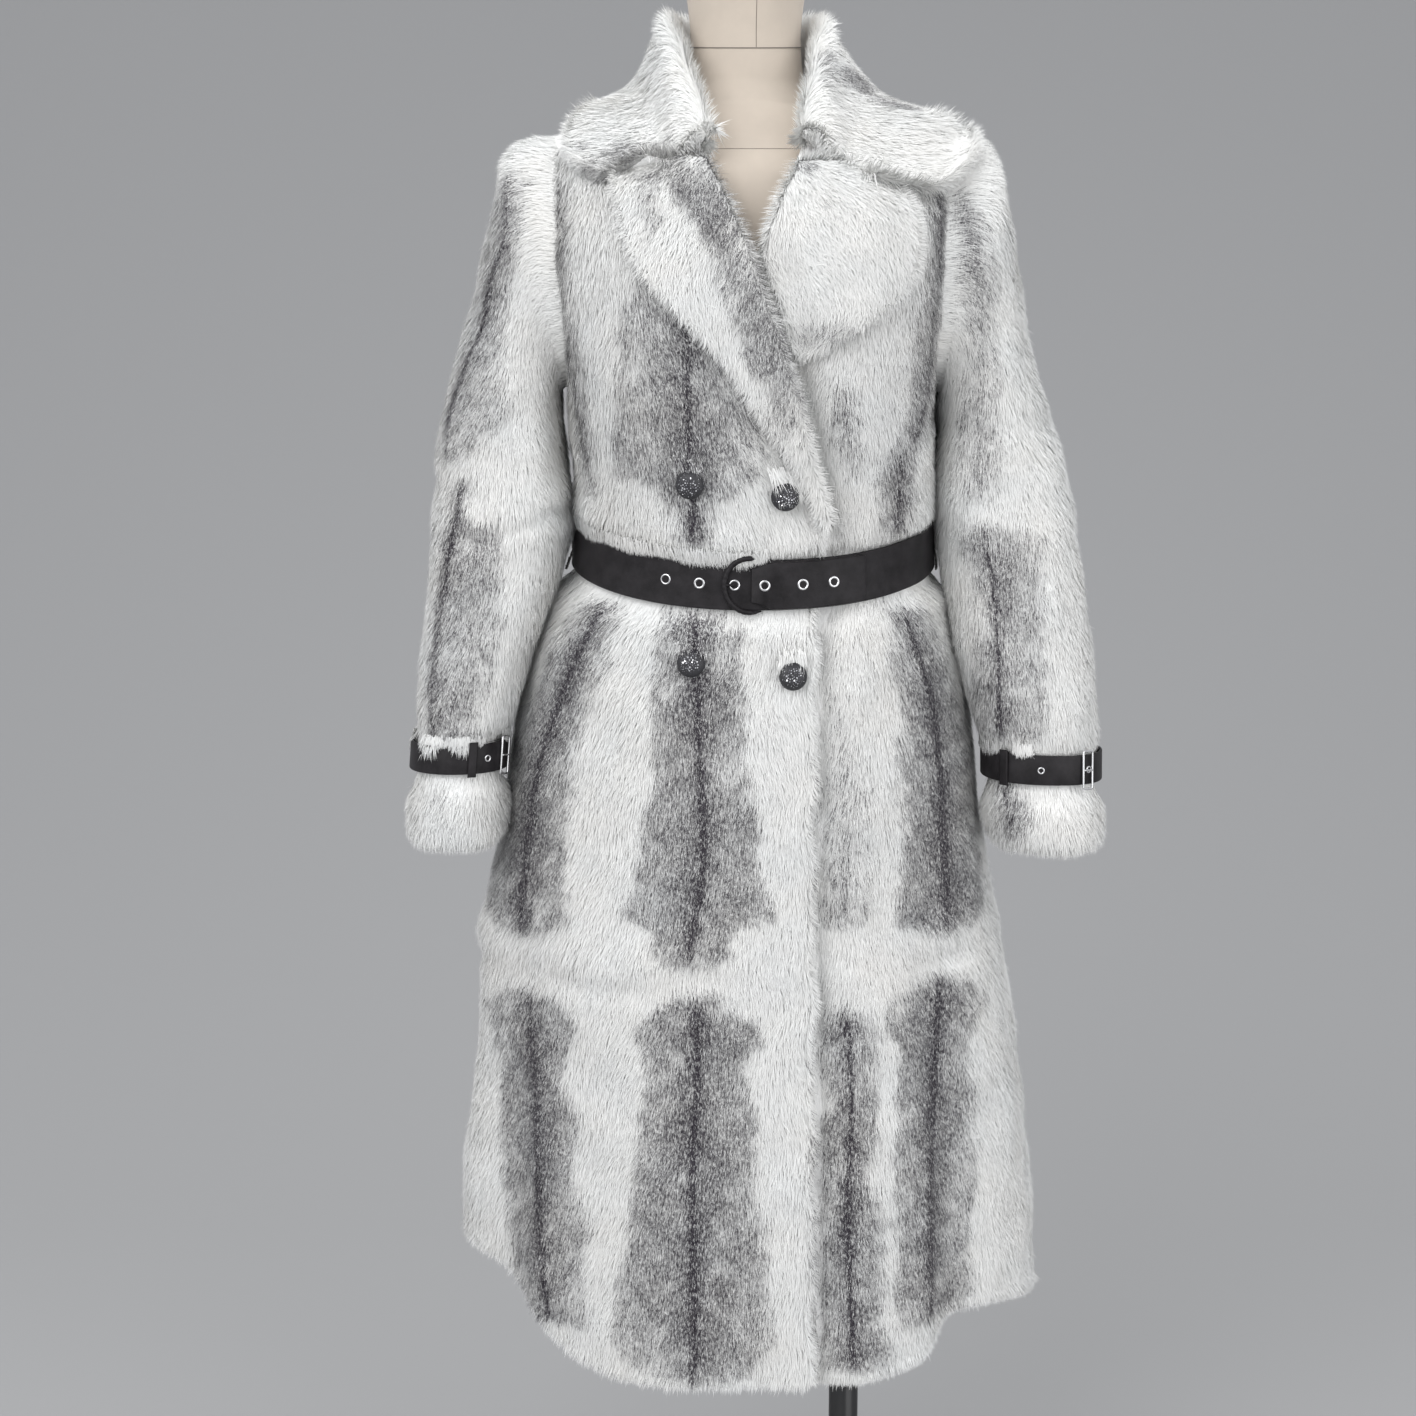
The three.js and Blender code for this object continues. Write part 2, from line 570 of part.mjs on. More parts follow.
// Collar: a wall that stands from the neck seam, folds over and falls to its free edge
function collarGrid(lift, overrun, rows = 20) {
  const place = (line, station) => {
    const table = COLLAR.map((row, i) => ({ station: i, x: row[line][0], y: row[line][1], z: row[line][2] }));
    const { x, y, z } = readTable(table, station);
    return new THREE.Vector3(x, y, z);
  };
  return steps(0, COLLAR.length - 1, rows).map((station) => {
    const neck = place('neck', station);
    const fold = place('fold', station);
    const edge = place('edge', station);
    const out = edge.clone().sub(fold).setZ(0).normalize();
    const rise = Math.min(fold.distanceTo(neck) / COLLAR_STAND, 1);
    edge.addScaledVector(edge.clone().sub(fold).normalize(), 2 * overrun);
    const up = (height) => new THREE.Vector3(0, 0, height);
    const drop = COLLAR_ROUND * rise;
    const profile = new THREE.CatmullRomCurve3([
      neck,
      neck.clone().lerp(fold, 0.5).addScaledVector(out, -1.5 * rise),
      fold.clone().addScaledVector(out, 1).add(up(-0.6 * drop)),
      fold.clone().addScaledVector(out, COLLAR_ROUND / 2),
      fold.clone().addScaledVector(out, COLLAR_ROUND).add(up(-0.85 * drop)),
      fold.clone().lerp(edge, 0.5).add(up(-COLLAR_SAG * fold.distanceTo(edge))),
      edge,
    ], false, 'centripetal');
    const side = out.clone().cross(new THREE.Vector3(0, 0, 1)).normalize();
    return steps(0, 1, 10).map((t) => {
      const normal = profile.getTangent(t).cross(side).normalize();
      const middle = liftOff(profile.getPoint(t), t < 0.3 ? 0 : FUR / 2 + SEAM);
      return middle.addScaledVector(normal, lift);
    });
  });
}

const bodyBlock = toSolid(plug(upperLevels.map((level) => turnsAround(36)
  .map((turn) => coatPoint(turn, level, FACET_LIFT)))));
function collarWall(grow) {
  const half = FUR / 2 + grow;
  return toSolid(wall(collarGrid(half, grow), collarGrid(-half, grow)));
}
const collar = throughArmholes(collarWall(0).subtract(bodyBlock));
addPiece('collar', cutGeometry(collar), 'fur');

// Lapels: laid on the fronts, with the roll wrapped over the free edge
function lapelWall(table, side, carrierLift) {
  const face = (lift) => table.map((row) => {
    const { level } = row;
    return steps(0, 1, 6).map((t) => {
      const x = row.roll + side * 1.5 + (row.edge - row.roll - side * 1.5) * t;
      const turn = turnAt(x, level);
      return coatPoint(turn, level, lift + carrierLift(turn, level));
    });
  });
  return toSolid(wall(face(SEAM + LAPEL_FUR), face(-SEAM)));
}
const collarCutter = collarWall(2 * SEAM);
const underCutter = panelWall(underTurns, (turn, level) => underLift(turn, level) + SEAM, FUR / 2);
const overBed = panelWall(overTurns, () => SEAM, FUR + 2 * SEAM, -SEAM);
const lapelRight = lapelWall(LAPEL_OVER, 0, () => 0);
const lapelLeft = lapelWall(LAPEL_UNDER, 1, underLift).subtract(underCutter);
addPiece('lapel_right', cutGeometry(lapelRight.subtract(overBed).subtract(collarCutter)), 'fur');
addPiece('lapel_left', cutGeometry(lapelLeft.subtract(overBed).subtract(collarCutter)), 'fur');

// Belt, with its free end laid over it, and a loop of thread at each side seam
const BELT_LEVELS = [WAIST_LEVEL - BELT_WIDTH / 2, WAIST_LEVEL, WAIST_LEVEL + BELT_WIDTH / 2];
function band(turns, levels, low, high, around = false) {
  const face = (lift) => levels.map((level) => turns.map((turn) => coatPoint(turn, level, lift)));
  return toGeometry(wall(face(high), face(low), around));
}
const beltTop = FACET_LIFT + LEATHER;
const tongueTop = beltTop + FACET_LIFT + LEATHER;
addPiece('belt', band(turnsAround(48), BELT_LEVELS, FACET_LIFT, beltTop, true), 'leather');
const tongueTurns = steps(turnAt(TONGUE.from, WAIST_LEVEL), turnAt(TONGUE.to, WAIST_LEVEL), 14);
addPiece('belt_tongue', band(tongueTurns, BELT_LEVELS, beltTop + FACET_LIFT, tongueTop), 'leather');

function placeOnCoat(mesh, turn, level, lift) {
  const normal = coatNormal(turn, level);
  mesh.position.copy(coatPoint(turn, level, lift));
  mesh.quaternion.setFromUnitVectors(new THREE.Vector3(0, 0, 1), normal);
}

EYELETS.forEach((eyelet, i) => {
  const torus = new THREE.TorusGeometry(EYELET_RADIUS, EYELET_WIRE, 5, 12);
  const ring = addPiece(`eyelet_${i + 1}`, torus, 'silver');
  const floor = eyelet.onTongue ? tongueTop : beltTop;
  placeOnCoat(ring, turnAt(eyelet.x, WAIST_LEVEL), WAIST_LEVEL, floor + SEAM + EYELET_WIRE);
});

// Belt buckle: a leather-covered half ring that the free end passes under
function tube(path, radius, sides = 8) {
  const rings = path.map((point, i) => {
    const along = path[Math.min(i + 1, path.length - 1)].clone().sub(path[Math.max(i - 1, 0)]).normalize();
    const right = along.clone().cross(new THREE.Vector3(0, 1, 0.01)).normalize();
    const up = right.clone().cross(along);
    return steps(0, 2 * Math.PI, sides).slice(0, sides).map((angle) => point.clone()
      .addScaledVector(right, radius * Math.cos(angle)).addScaledVector(up, radius * Math.sin(angle)));
  });
  return toGeometry(plug(rings));
}
const bucklePath = steps(90, 270, 12).map((degrees) => {
  const angle = THREE.MathUtils.degToRad(degrees);
  const x = BUCKLE.x + BUCKLE.halfWidth * Math.cos(angle);
  const point = coatPoint(turnAt(x, WAIST_LEVEL), WAIST_LEVEL, beltTop + 5 * SEAM + BUCKLE.wire);
  return point.add(new THREE.Vector3(0, 0, BUCKLE.halfHeight * Math.sin(angle)));
});
addPiece('belt_buckle', tube(bucklePath, BUCKLE.wire), 'leather');

// Thread loops over the belt, seated on the fur above and below it
const LOOP_PATH = [
  { level: 1072, lift: 0.9 },
  { level: 1069, lift: 4.6 },
  { level: 1065, lift: 6.2 },
  { level: 1045, lift: 6.2 },
  { level: 1025, lift: 6.2 },
  { level: 1020, lift: 4.4 },
  { level: 1016, lift: 1.4 },
];
for (const [name, turn] of [['belt_loop_right', -90], ['belt_loop_left', 90]]) {
  const face = (extra) => LOOP_PATH.map(({ level, lift }) => [-1.2, 0, 1.2]
    .map((away) => coatPoint(turn + away, level, lift + extra)));
  addPiece(name, toGeometry(wall(face(LOOP_THICKNESS / 2), face(-LOOP_THICKNESS / 2))), 'thread');
}

// Domed buttons
const dome = [[0, 0], [0.86, 0], [1, 0.25], [0.92, 0.58], [0.6, 0.9], [0, 1]]
  .map(([r, h]) => new THREE.Vector2(r * BUTTON_RADIUS, h * BUTTON_HEIGHT));
BUTTONS.forEach((button, i) => {
  const geometry = new THREE.LatheGeometry(dome, 14).rotateX(Math.PI / 2);
  const piece = addPiece(`button_${i + 1}`, geometry, 'gunmetal');
  placeOnCoat(piece, turnAt(button.x, button.level), button.level, BUTTON_LIFT);
});

// Cuff straps: a leather band in the groove of each sleeve, with a keeper and a buckle
function sleevePoint(table, side, angle, share, lift) {
  const [low, high] = STRAP_ROWS.map((row) => {
    const { inX, inZ, outX, outZ, depth, y } = table[row];
    const middle = new THREE.Vector3(side * (inX + outX) / 2, y, (inZ + outZ) / 2);
    const across = new THREE.Vector3(side * outX, y, outZ).sub(middle);
    const reach = across.length() + lift;
    const a = THREE.MathUtils.degToRad(angle);
    return middle.addScaledVector(across.normalize(), reach * signedPower(Math.cos(a), 2 / SLEEVE_SQUARE))
      .add(new THREE.Vector3(0, (depth + lift) * signedPower(Math.sin(a), 2 / SLEEVE_SQUARE), 0));
  });
  return low.lerp(high, share);
}
function sleeveBand(table, side, angles, shares, low, high, around = false) {
  const face = (lift) => shares.map((share) => angles.map((a) => sleevePoint(table, side, a, share, lift)));
  return toGeometry(wall(face(high), face(low), around));
}
const strapTop = SEAM + STRAP_LEATHER;
const frame = new THREE.Shape();
const [frameW, frameH] = [CUFF_BUCKLE.width / 2, CUFF_BUCKLE.height / 2];
frame.moveTo(-frameW, -frameH).lineTo(frameW, -frameH).lineTo(frameW, frameH).lineTo(-frameW, frameH);
const gap = new THREE.Path();
const [gapW, gapH] = [frameW - CUFF_BUCKLE.wire, frameH - CUFF_BUCKLE.wire];
gap.moveTo(-gapW, -gapH).lineTo(-gapW, gapH).lineTo(gapW, gapH).lineTo(gapW, -gapH);
frame.holes.push(gap);

const CUFFS = [
  { side: 'right', sign: -1, table: SLEEVE_RIGHT, keeper: -109, buckle: -155 },
  { side: 'left', sign: 1, table: SLEEVE_LEFT, keeper: -133, buckle: -54 },
];
for (const cuff of CUFFS) {
  const around = turnsAround(SLEEVE_SIDES);
  const strap = sleeveBand(cuff.table, cuff.sign, around, [0.04, 0.96], SEAM, strapTop, true);
  addPiece(`cuff_strap_${cuff.side}`, strap, 'leather');
  const arc = steps(cuff.keeper - KEEPER_HALF_TURN, cuff.keeper + KEEPER_HALF_TURN, 2);
  const under = strapTop + SEAM;
  const keeper = sleeveBand(cuff.table, cuff.sign, arc, [-0.05, 1.05], under, under + KEEPER_LEATHER);
  addPiece(`cuff_keeper_${cuff.side}`, keeper, 'leather');
  const metal = new THREE.ExtrudeGeometry(frame, { depth: CUFF_BUCKLE.wire, bevelEnabled: false });
  const buckle = addPiece(`cuff_buckle_${cuff.side}`, metal, 'silver');
  const floor = strapTop + CUFF_BUCKLE_LIFT;
  const here = sleevePoint(cuff.table, cuff.sign, cuff.buckle, 0.5, floor);
  const out = sleevePoint(cuff.table, cuff.sign, cuff.buckle, 0.5, floor + LEATHER).sub(here).normalize();
  const up = sleevePoint(cuff.table, cuff.sign, cuff.buckle, 0, floor).sub(here).normalize();
  buckle.position.copy(here);
  buckle.quaternion.setFromRotationMatrix(new THREE.Matrix4().makeBasis(up.clone().cross(out), up, out));
}

// Dress form: follows the inside of the coat, then narrows to the neck
const FORM_LEVELS = [880, 985, 1045, 1120, 1180, 1245, 1309, 1350, 1382, 1402, 1416, 1428, 1439, 1450];
const formRings = FORM_LEVELS.map((level) => (
  turnsAround(FORM_SIDES).map((turn) => coatPoint(turn, level, -readTable(FORM_INSET, level).inset))
));
formRings.unshift(turnsAround(FORM_SIDES)
  .map((turn) => coatPoint(turn, FORM_BOTTOM, -readTable(FORM_INSET, FORM_BOTTOM).inset).setZ(FORM_BOTTOM)));
const neckRing = (row) => turnsAround(FORM_SIDES).map((turn) => {
  const angle = THREE.MathUtils.degToRad(turn);
  const depth = Math.cos(angle) > 0 ? row.front : row.back;
  return new THREE.Vector3(NECK_X + row.halfWidth * Math.sin(angle), -depth * Math.cos(angle), row.level);
});
formRings.push(...NECK.map(neckRing));
addPiece('form_torso', toGeometry(plug(formRings)), 'linen');
const top = NECK[NECK.length - 1];
const capRings = [
  { share: 0.97, rise: SEAM }, { share: 1, rise: 2 }, { share: 0.96, rise: 7 }, { share: 0.72, rise: 11 },
  { share: 0.35, rise: 12.5 },
].map(({ share, rise }) => neckRing({
  level: top.level + rise,
  halfWidth: top.halfWidth * share,
  front: top.front * share,
  back: top.back * share,
}));
addPiece('form_neck_cap', toGeometry(plug(capRings)), 'linen');

// Stand: a post up to the form, in a round flange on a flat base
const postTop = FORM_BOTTOM - SEAM;
const postFoot = BASE_THICKNESS + SEAM;
const postProfile = [
  [0, postFoot], [32, postFoot], [32, postFoot + 4], [19, postFoot + 8], [19, postFoot + 34],
  [POST_RADIUS, postFoot + 36], [POST_RADIUS, postTop], [0, postTop],
].map(([r, z]) => new THREE.Vector2(r, z));
const post = addPiece('post', new THREE.LatheGeometry(postProfile, 18).rotateX(Math.PI / 2), 'black');
post.position.set(POST_X, POST_Y, 0);
const baseProfile = [
  [0, 0], [BASE_RADIUS - 2, 0], [BASE_RADIUS, 2], [BASE_RADIUS, BASE_THICKNESS - 3],
  [BASE_RADIUS - 4, BASE_THICKNESS], [0, BASE_THICKNESS],
].map(([r, z]) => new THREE.Vector2(r, z));
addPiece('base_plate', new THREE.LatheGeometry(baseProfile, 36).rotateX(Math.PI / 2), 'black');

export default coat;
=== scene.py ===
# A belted fur coat on a limbless dress form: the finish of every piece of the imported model.
import math
from types import SimpleNamespace

import bpy
import numpy as np
from bpy.props import FloatProperty, FloatVectorProperty, IntProperty
from mathutils.kdtree import KDTree
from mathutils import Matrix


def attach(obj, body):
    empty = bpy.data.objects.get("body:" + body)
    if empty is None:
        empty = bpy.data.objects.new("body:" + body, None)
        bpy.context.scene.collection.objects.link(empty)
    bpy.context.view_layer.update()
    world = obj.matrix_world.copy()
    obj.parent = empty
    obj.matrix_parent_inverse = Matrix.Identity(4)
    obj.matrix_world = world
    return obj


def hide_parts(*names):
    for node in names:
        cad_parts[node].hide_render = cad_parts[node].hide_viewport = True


bl_info = {
    "name": "Fur Coat on a Dress Form",
    "version": (1, 0, 0),
    "blender": (4, 5, 0),
    "location": "3D View > Sidebar > Fur Coat",
    "description": "Dresses the frame of a belted fur coat and its dress form",
    "category": "Object",
}

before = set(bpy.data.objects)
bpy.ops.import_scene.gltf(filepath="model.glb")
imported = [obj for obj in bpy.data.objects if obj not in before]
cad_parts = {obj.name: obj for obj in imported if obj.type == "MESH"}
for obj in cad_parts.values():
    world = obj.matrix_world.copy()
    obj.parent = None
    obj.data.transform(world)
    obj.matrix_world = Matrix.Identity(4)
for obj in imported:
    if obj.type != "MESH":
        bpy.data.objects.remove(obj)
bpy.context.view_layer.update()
BODY = "root"


def table(columns, *rows):
    """Named columns of numbers from short rows."""
    return dict(zip(columns.split(), np.array(rows, float).T, strict=True))


# Sizes are in millimetres, as the coat's maker has them, and meshes are turned into metres.
FUR = 12  # skin and pile of one layer
SEAM = 0.3
HEM_LEVEL, NECK_LEVEL, WAIST_LEVEL, HEM_REACH = 342, 1450, 1045, 620
WAIST_TILT, WAIST_RISE, WAIST_DEPTH, WAIST_LIFT = 0.15, 11.5, 131, 4
WAIST_TILT_REACH, HEM_EASE = 110, 1.6
UNDER_START, UNDER_RISE = 3, 38
LAPEL_FUR = 11
SLEEVE_SQUARE = 2.2
COLLAR_STAND, COLLAR_ROUND, COLLAR_SAG = 60, 15, 0.14
BELT_FLOOR, BELT_LEATHER, BELT_WIDTH = 0.75, 3, 44
CUFF_LEATHER = 2.4
NEAR_DEGREE, NEAR_LEVEL = 1, 3

# Outer face of the coat, ring by ring
RINGS = table(
    "level half_width front back centre square",
    (342, 269, 214, 236, 4, 2.15),
    (440, 267, 205, 226, 3, 2.15),
    (520, 260, 197, 215, 2, 2.15),
    (610, 251, 187, 202, 0, 2.15),
    (700, 241, 176, 189, -5, 2.15),
    (760, 230, 169, 180, -6, 2.15),
    (820, 219, 163, 170, -5, 2.15),
    (892, 211, 156, 157, -4, 2.15),
    (966, 193, 147, 138, -3, 2.15),
    (1005, 176, 140, 124, 1, 2.2),
    (1026, 160, 133, 113, 5, 2.2),
    (1045, 158, 132, 111, 6, 2.2),
    (1064, 158, 132.5, 112, 6, 2.2),
    (1080, 161, 140, 116, 6, 2.25),
    (1110, 157, 143, 119, 5, 2.4),
    (1150, 160, 147, 124, 3, 2.6),
    (1200, 165, 152, 130, 2, 2.8),
    (1260, 174, 155, 136, 2, 3),
    (1310, 181, 150, 135, 1, 3),
    (1350, 185, 134, 128, 1, 2.9),
    (1380, 187, 115, 118, 1, 2.7),
    (1402, 186, 96, 104, 1, 2.5),
    (1416, 180, 82, 91, 1, 2.4),
    (1428, 146, 74, 80, 0, 2.3),
    (1440, 106, 67, 70, -1, 2.2),
    (1450, 70, 60, 62, -3, 2.1),
)
# Height of the hem round the skirt: turn is 0 at the front and 90 at the wearer's left
HEM = table(
    "turn height",
    *((-180, 352), (-135, 372), (-95, 428), (-65, 424), (-47, 388), (-30, 348), (0, 342)),
    *((28, 350), (42, 386), (60, 388), (90, 362), (135, 350), (180, 352)),
)
# Soft vertical folds of the skirt: turn, half width in degrees, depth at the hem, top
FOLDS = (
    (43, 11, -17, 900),
    (62, 13, 7, 860),
    (-56, 12, -12, 880),
    (-74, 12, 7, 800),
    (112, 14, -13, 880),
    (138, 14, 8, 860),
    (165, 13, -12, 840),
    (-160, 14, 9, 860),
    (-133, 14, -13, 880),
    (-108, 13, 8, 820),
)
OVER_EDGE = table(
    "level x", (342, 57), (1030, 59), (1090, 66), (1193, 41), (1309, 1), (1402, -40), (1450, -58)
)
UNDER_EDGE = table(
    "level x", (342, -50), (1030, -50), (1090, -50), (1193, -34), (1309, 3), (1402, 44), (1450, 52)
)
LAPEL_OVER = table(
    "level roll edge",
    (1092, 66, 61),
    (1118, 60, 49),
    (1150, 52, 26),
    (1180, 45, 4),
    (1215, 33, -22),
    (1250, 21, -54),
    (1280, 11, -84),
    (1305, 2, -100),
    (1340, -13, -112),
    (1368, -25, -114),
    (1388, -34, -92),
)
LAPEL_UNDER = table(
    "level roll edge",
    (1222, 33, 44),
    (1236, 28, 70),
    (1252, 23, 98),
    (1270, 17, 124),
    (1290, 10, 136),
    (1315, 6, 140),
    (1345, 19, 136),
    (1368, 30, 112),
    (1384, 37, 84),
)
SLEEVE_LEFT = table(
    "row in_x in_z out_x out_z depth y",
    (0, 166, 1192, 183, 1417, 88, 0),
    (1, 168, 1182, 206, 1411, 86, 0),
    (2, 170, 1170, 223, 1388, 82, -2),
    (3, 172, 1152, 238, 1310, 76, -4),
    (4, 172, 1118, 257, 1212, 71, -10),
    (5, 172, 1084, 279, 1146, 67, -17),
    (6, 174, 1052, 290, 1098, 65, -24),
    (7, 183, 1004, 300, 1035, 63, -33),
    (8, 196, 952, 309, 964, 61, -43),
    (9, 204, 905, 313, 906, 59, -52),
    (10, 211, 880, 313, 878, 54, -56),
    (11, 211, 852, 313, 850, 54, -59),
    (12, 208, 826, 317, 826, 59, -62),
    (13, 212, 804, 318, 804, 58, -64),
    (14, 220, 793, 311, 793, 52, -64),
)
SLEEVE_RIGHT = table(
    "row in_x in_z out_x out_z depth y",
    (0, 163, 1192, 181, 1417, 88, 0),
    (1, 166, 1182, 204, 1410, 86, 0),
    (2, 168, 1170, 220, 1389, 82, -2),
    (3, 169, 1152, 236, 1315, 76, -4),
    (4, 168, 1122, 259, 1226, 71, -10),
    (5, 164, 1090, 277, 1152, 67, -17),
    (6, 163, 1062, 283, 1096, 65, -24),
    (7, 173, 1014, 288, 1024, 63, -33),
    (8, 191, 964, 294, 956, 60, -43),
    (9, 205, 914, 297, 909, 57, -52),
    (10, 215, 888, 298, 887, 51, -56),
    (11, 217, 860, 300, 860, 51, -59),
    (12, 213, 834, 306, 835, 57, -62),
    (13, 214, 809, 307, 808, 57, -64),
    (14, 221, 797, 300, 796, 51, -64),
)
STRAP_ROWS = (10, 11)
# Collar stations, from the right front round the back to the left front
COLLAR = table(
    "station neck_x neck_y neck_z fold_x fold_y fold_z edge_x edge_y edge_z",
    (0, -40, -97, 1398, -34, -112, 1402, -90, -126, 1387),
    (1, -50, -80, 1421, -42, -88, 1436, -126, -118, 1368),
    (2, -62, -48, 1441, -55, -52, 1480, -158, -76, 1390),
    (3, -70, -8, 1452, -63, -8, 1512, -136, -8, 1436),
    (4, -56, 38, 1453, -52, 40, 1517, -118, 84, 1426),
    (5, -3, 62, 1453, -3, 64, 1518, -3, 137, 1410),
    (6, 50, 38, 1453, 46, 40, 1517, 124, 86, 1426),
    (7, 64, -8, 1452, 57, -8, 1511, 172, 8, 1430),
    (8, 58, -46, 1441, 53, -50, 1478, 206, -56, 1400),
    (9, 52, -78, 1421, 47, -86, 1438, 168, -108, 1362),
    (10, 46, -95, 1399, 41, -110, 1404, 104, -130, 1372),
)
BUTTONS = table("x level", (-51, 1125.5), (29, 1117.5), (-50, 976), (36, 964))
EYELETS = table(
    "x on_tongue", (-70.5, 0), (-42.5, 0), (-13.2, 0), (12, 1), (43.5, 1), (69, 1)
)
FORM_INSET = table(
    "level inset",
    *((790, 72), (880, 62), (966, 48), (1045, 36), (1110, 31), (1200, 30), (1310, 31)),
    *((1345, 28), (1378, 20), (1402, 13.4), (1428, 13.3), (1450, 13.4)),
)
NECK = table(
    "level half_width front back",
    (1457, 53, 45, 49),
    (1474, 50, 45, 49),
    (1500, 48.5, 45, 49),
    (1527, 51, 48, 51),
    (1550, 55, 51, 53),
    (1566, 56, 52, 54),
)


def read(sheet, at, column):
    """A column at any values of the table's first one, smooth between the rows."""
    keys = next(iter(sheet.values()))
    values = sheet[column]
    at = np.asarray(at, float)
    last = len(keys) - 1
    rows = np.arange(last + 1)
    before, after = np.maximum(rows - 1, 0), np.minimum(rows + 1, last)
    slope = (values[after] - values[before]) / (keys[after] - keys[before])
    i = np.clip(np.searchsorted(keys, at) - 1, 0, last - 1)
    span = keys[i + 1] - keys[i]
    t = np.clip((at - keys[i]) / span, 0, 1)
    return (
        (2 * t**3 - 3 * t**2 + 1) * values[i]
        + (t**3 - 2 * t**2 + t) * slope[i] * span
        + (3 * t**2 - 2 * t**3) * values[i + 1]
        + (t**3 - t**2) * slope[i + 1] * span
    )


def signed_power(value, power):
    return np.sign(value) * np.abs(value) ** power


def smooth(t):
    t = np.clip(t, 0, 1)
    return t * t * (3 - 2 * t)


def unit(v):
    return v / np.maximum(np.linalg.norm(v, axis=-1, keepdims=True), 1e-9)


def coat_face(turn, level):
    """Points on the outer face of the coat, where the hair ends."""
    turn, level = np.broadcast_arrays(np.asarray(turn, float), np.asarray(level, float))
    half, front, back, centre, square = (
        read(RINGS, level, name) for name in ("half_width", "front", "back", "centre", "square")
    )
    angle = np.radians(turn)
    x = half * signed_power(np.sin(angle), 2 / square)
    y = -np.where(np.cos(angle) > 0, front, back) * signed_power(np.cos(angle), 2 / square)
    wrapped = (turn + 540) % 360 - 180
    swell = np.zeros_like(x)
    for at, width, depth, top in FOLDS:
        away = np.minimum(np.abs(wrapped - at) / width, 1)
        fall = smooth((top - level) / (top - HEM_LEVEL))
        swell += depth * fall * (0.5 + 0.5 * np.cos(np.pi * away))
    out = 1 + swell / np.hypot(x, y)
    share = np.maximum((HEM_REACH - level) / (HEM_REACH - HEM_LEVEL), 0)
    z = level + (read(HEM, wrapped, "height") - HEM_LEVEL) * share**HEM_EASE
    near_waist = np.exp(-(((level - WAIST_LEVEL) / WAIST_TILT_REACH) ** 2))
    x, y = x * out + centre, y * out
    rise = WAIST_RISE * (1 - (y / WAIST_DEPTH) ** 2)
    return np.stack([x, y, z + near_waist * (WAIST_TILT * y + rise + WAIST_LIFT)], -1)


def coat_normal(turn, level):
    low = np.maximum(level - NEAR_LEVEL, HEM_LEVEL)
    high = np.minimum(level + NEAR_LEVEL, NECK_LEVEL)
    along = coat_face(turn + NEAR_DEGREE, level) - coat_face(turn - NEAR_DEGREE, level)
    return unit(np.cross(along, coat_face(turn, high) - coat_face(turn, low)))


def coat_point(turn, level, lift=0.0):
    lift = np.asarray(lift, float)[..., None]
    return coat_face(turn, level) + coat_normal(turn, level) * lift


def turn_at(x, level):
    """The turn at which the coat's front passes a given x."""
    share = (x - read(RINGS, level, "centre")) / read(RINGS, level, "half_width")
    share = np.clip(share, -1, 1)
    return np.degrees(np.arcsin(signed_power(share, read(RINGS, level, "square") / 2)))


def under_lift(turn, level):
    """How far the lower front lies under the upper one."""
    beyond = coat_face(turn, level)[..., 0] - read(OVER_EDGE, level, "x")
    return -(FUR + SEAM) * (1 - smooth((beyond - UNDER_START) / UNDER_RISE))


def sleeve_face(sheet, side, row, turn, lift=0.0):
    """Points on a sleeve: row along it and turn round it, 0 outside and -90 in front."""
    row, turn = np.broadcast_arrays(np.asarray(row, float), np.asarray(turn, float))
    half = [
        (read(sheet, row, f"out_{axis}") - read(sheet, row, f"in_{axis}")) / 2 for axis in "xz"
    ]
    middle = [
        (read(sheet, row, f"out_{axis}") + read(sheet, row, f"in_{axis}")) / 2 for axis in "xz"
    ]
    length = np.hypot(*half)
    angle = np.radians(turn)
    across = signed_power(np.cos(angle), 2 / SLEEVE_SQUARE) * (1 + lift / length)
    depth = signed_power(np.sin(angle), 2 / SLEEVE_SQUARE) * (read(sheet, row, "depth") + lift)
    return np.stack(
        [
            side * (middle[0] + across * half[0]),
            read(sheet, row, "y") + depth,
            middle[1] + across * half[1],
        ],
        -1,
    )


def smooth_curve(points, t):
    """A centripetal curve through points[k], each (..., 3), at shares t from 0 to 1."""
    count = len(points)
    pieces = []
    for share in t:
        at = share * (count - 1)
        k = min(int(at), count - 2)
        w = at - k
        b, c = points[k], points[k + 1]
        a = points[k - 1] if k else 2 * b - c
        d = points[k + 2] if k + 2 < count else 2 * c - b
        ab, bc, cd = (
            np.maximum(np.linalg.norm(q - p, axis=-1, keepdims=True) ** 0.5, 1e-4)
            for p, q in ((a, b), (b, c), (c, d))
        )
        m = ((b - a) / ab - (c - a) / (ab + bc) + (c - b) / bc) * bc
        n = ((c - b) / bc - (d - b) / (bc + cd) + (d - c) / cd) * bc
        pieces.append(
            (2 * w**3 - 3 * w**2 + 1) * b
            + (w**3 - 2 * w**2 + w) * m
            + (3 * w**2 - 2 * w**3) * c
            + (w**3 - w**2) * n
        )
    return np.stack(pieces, -2)


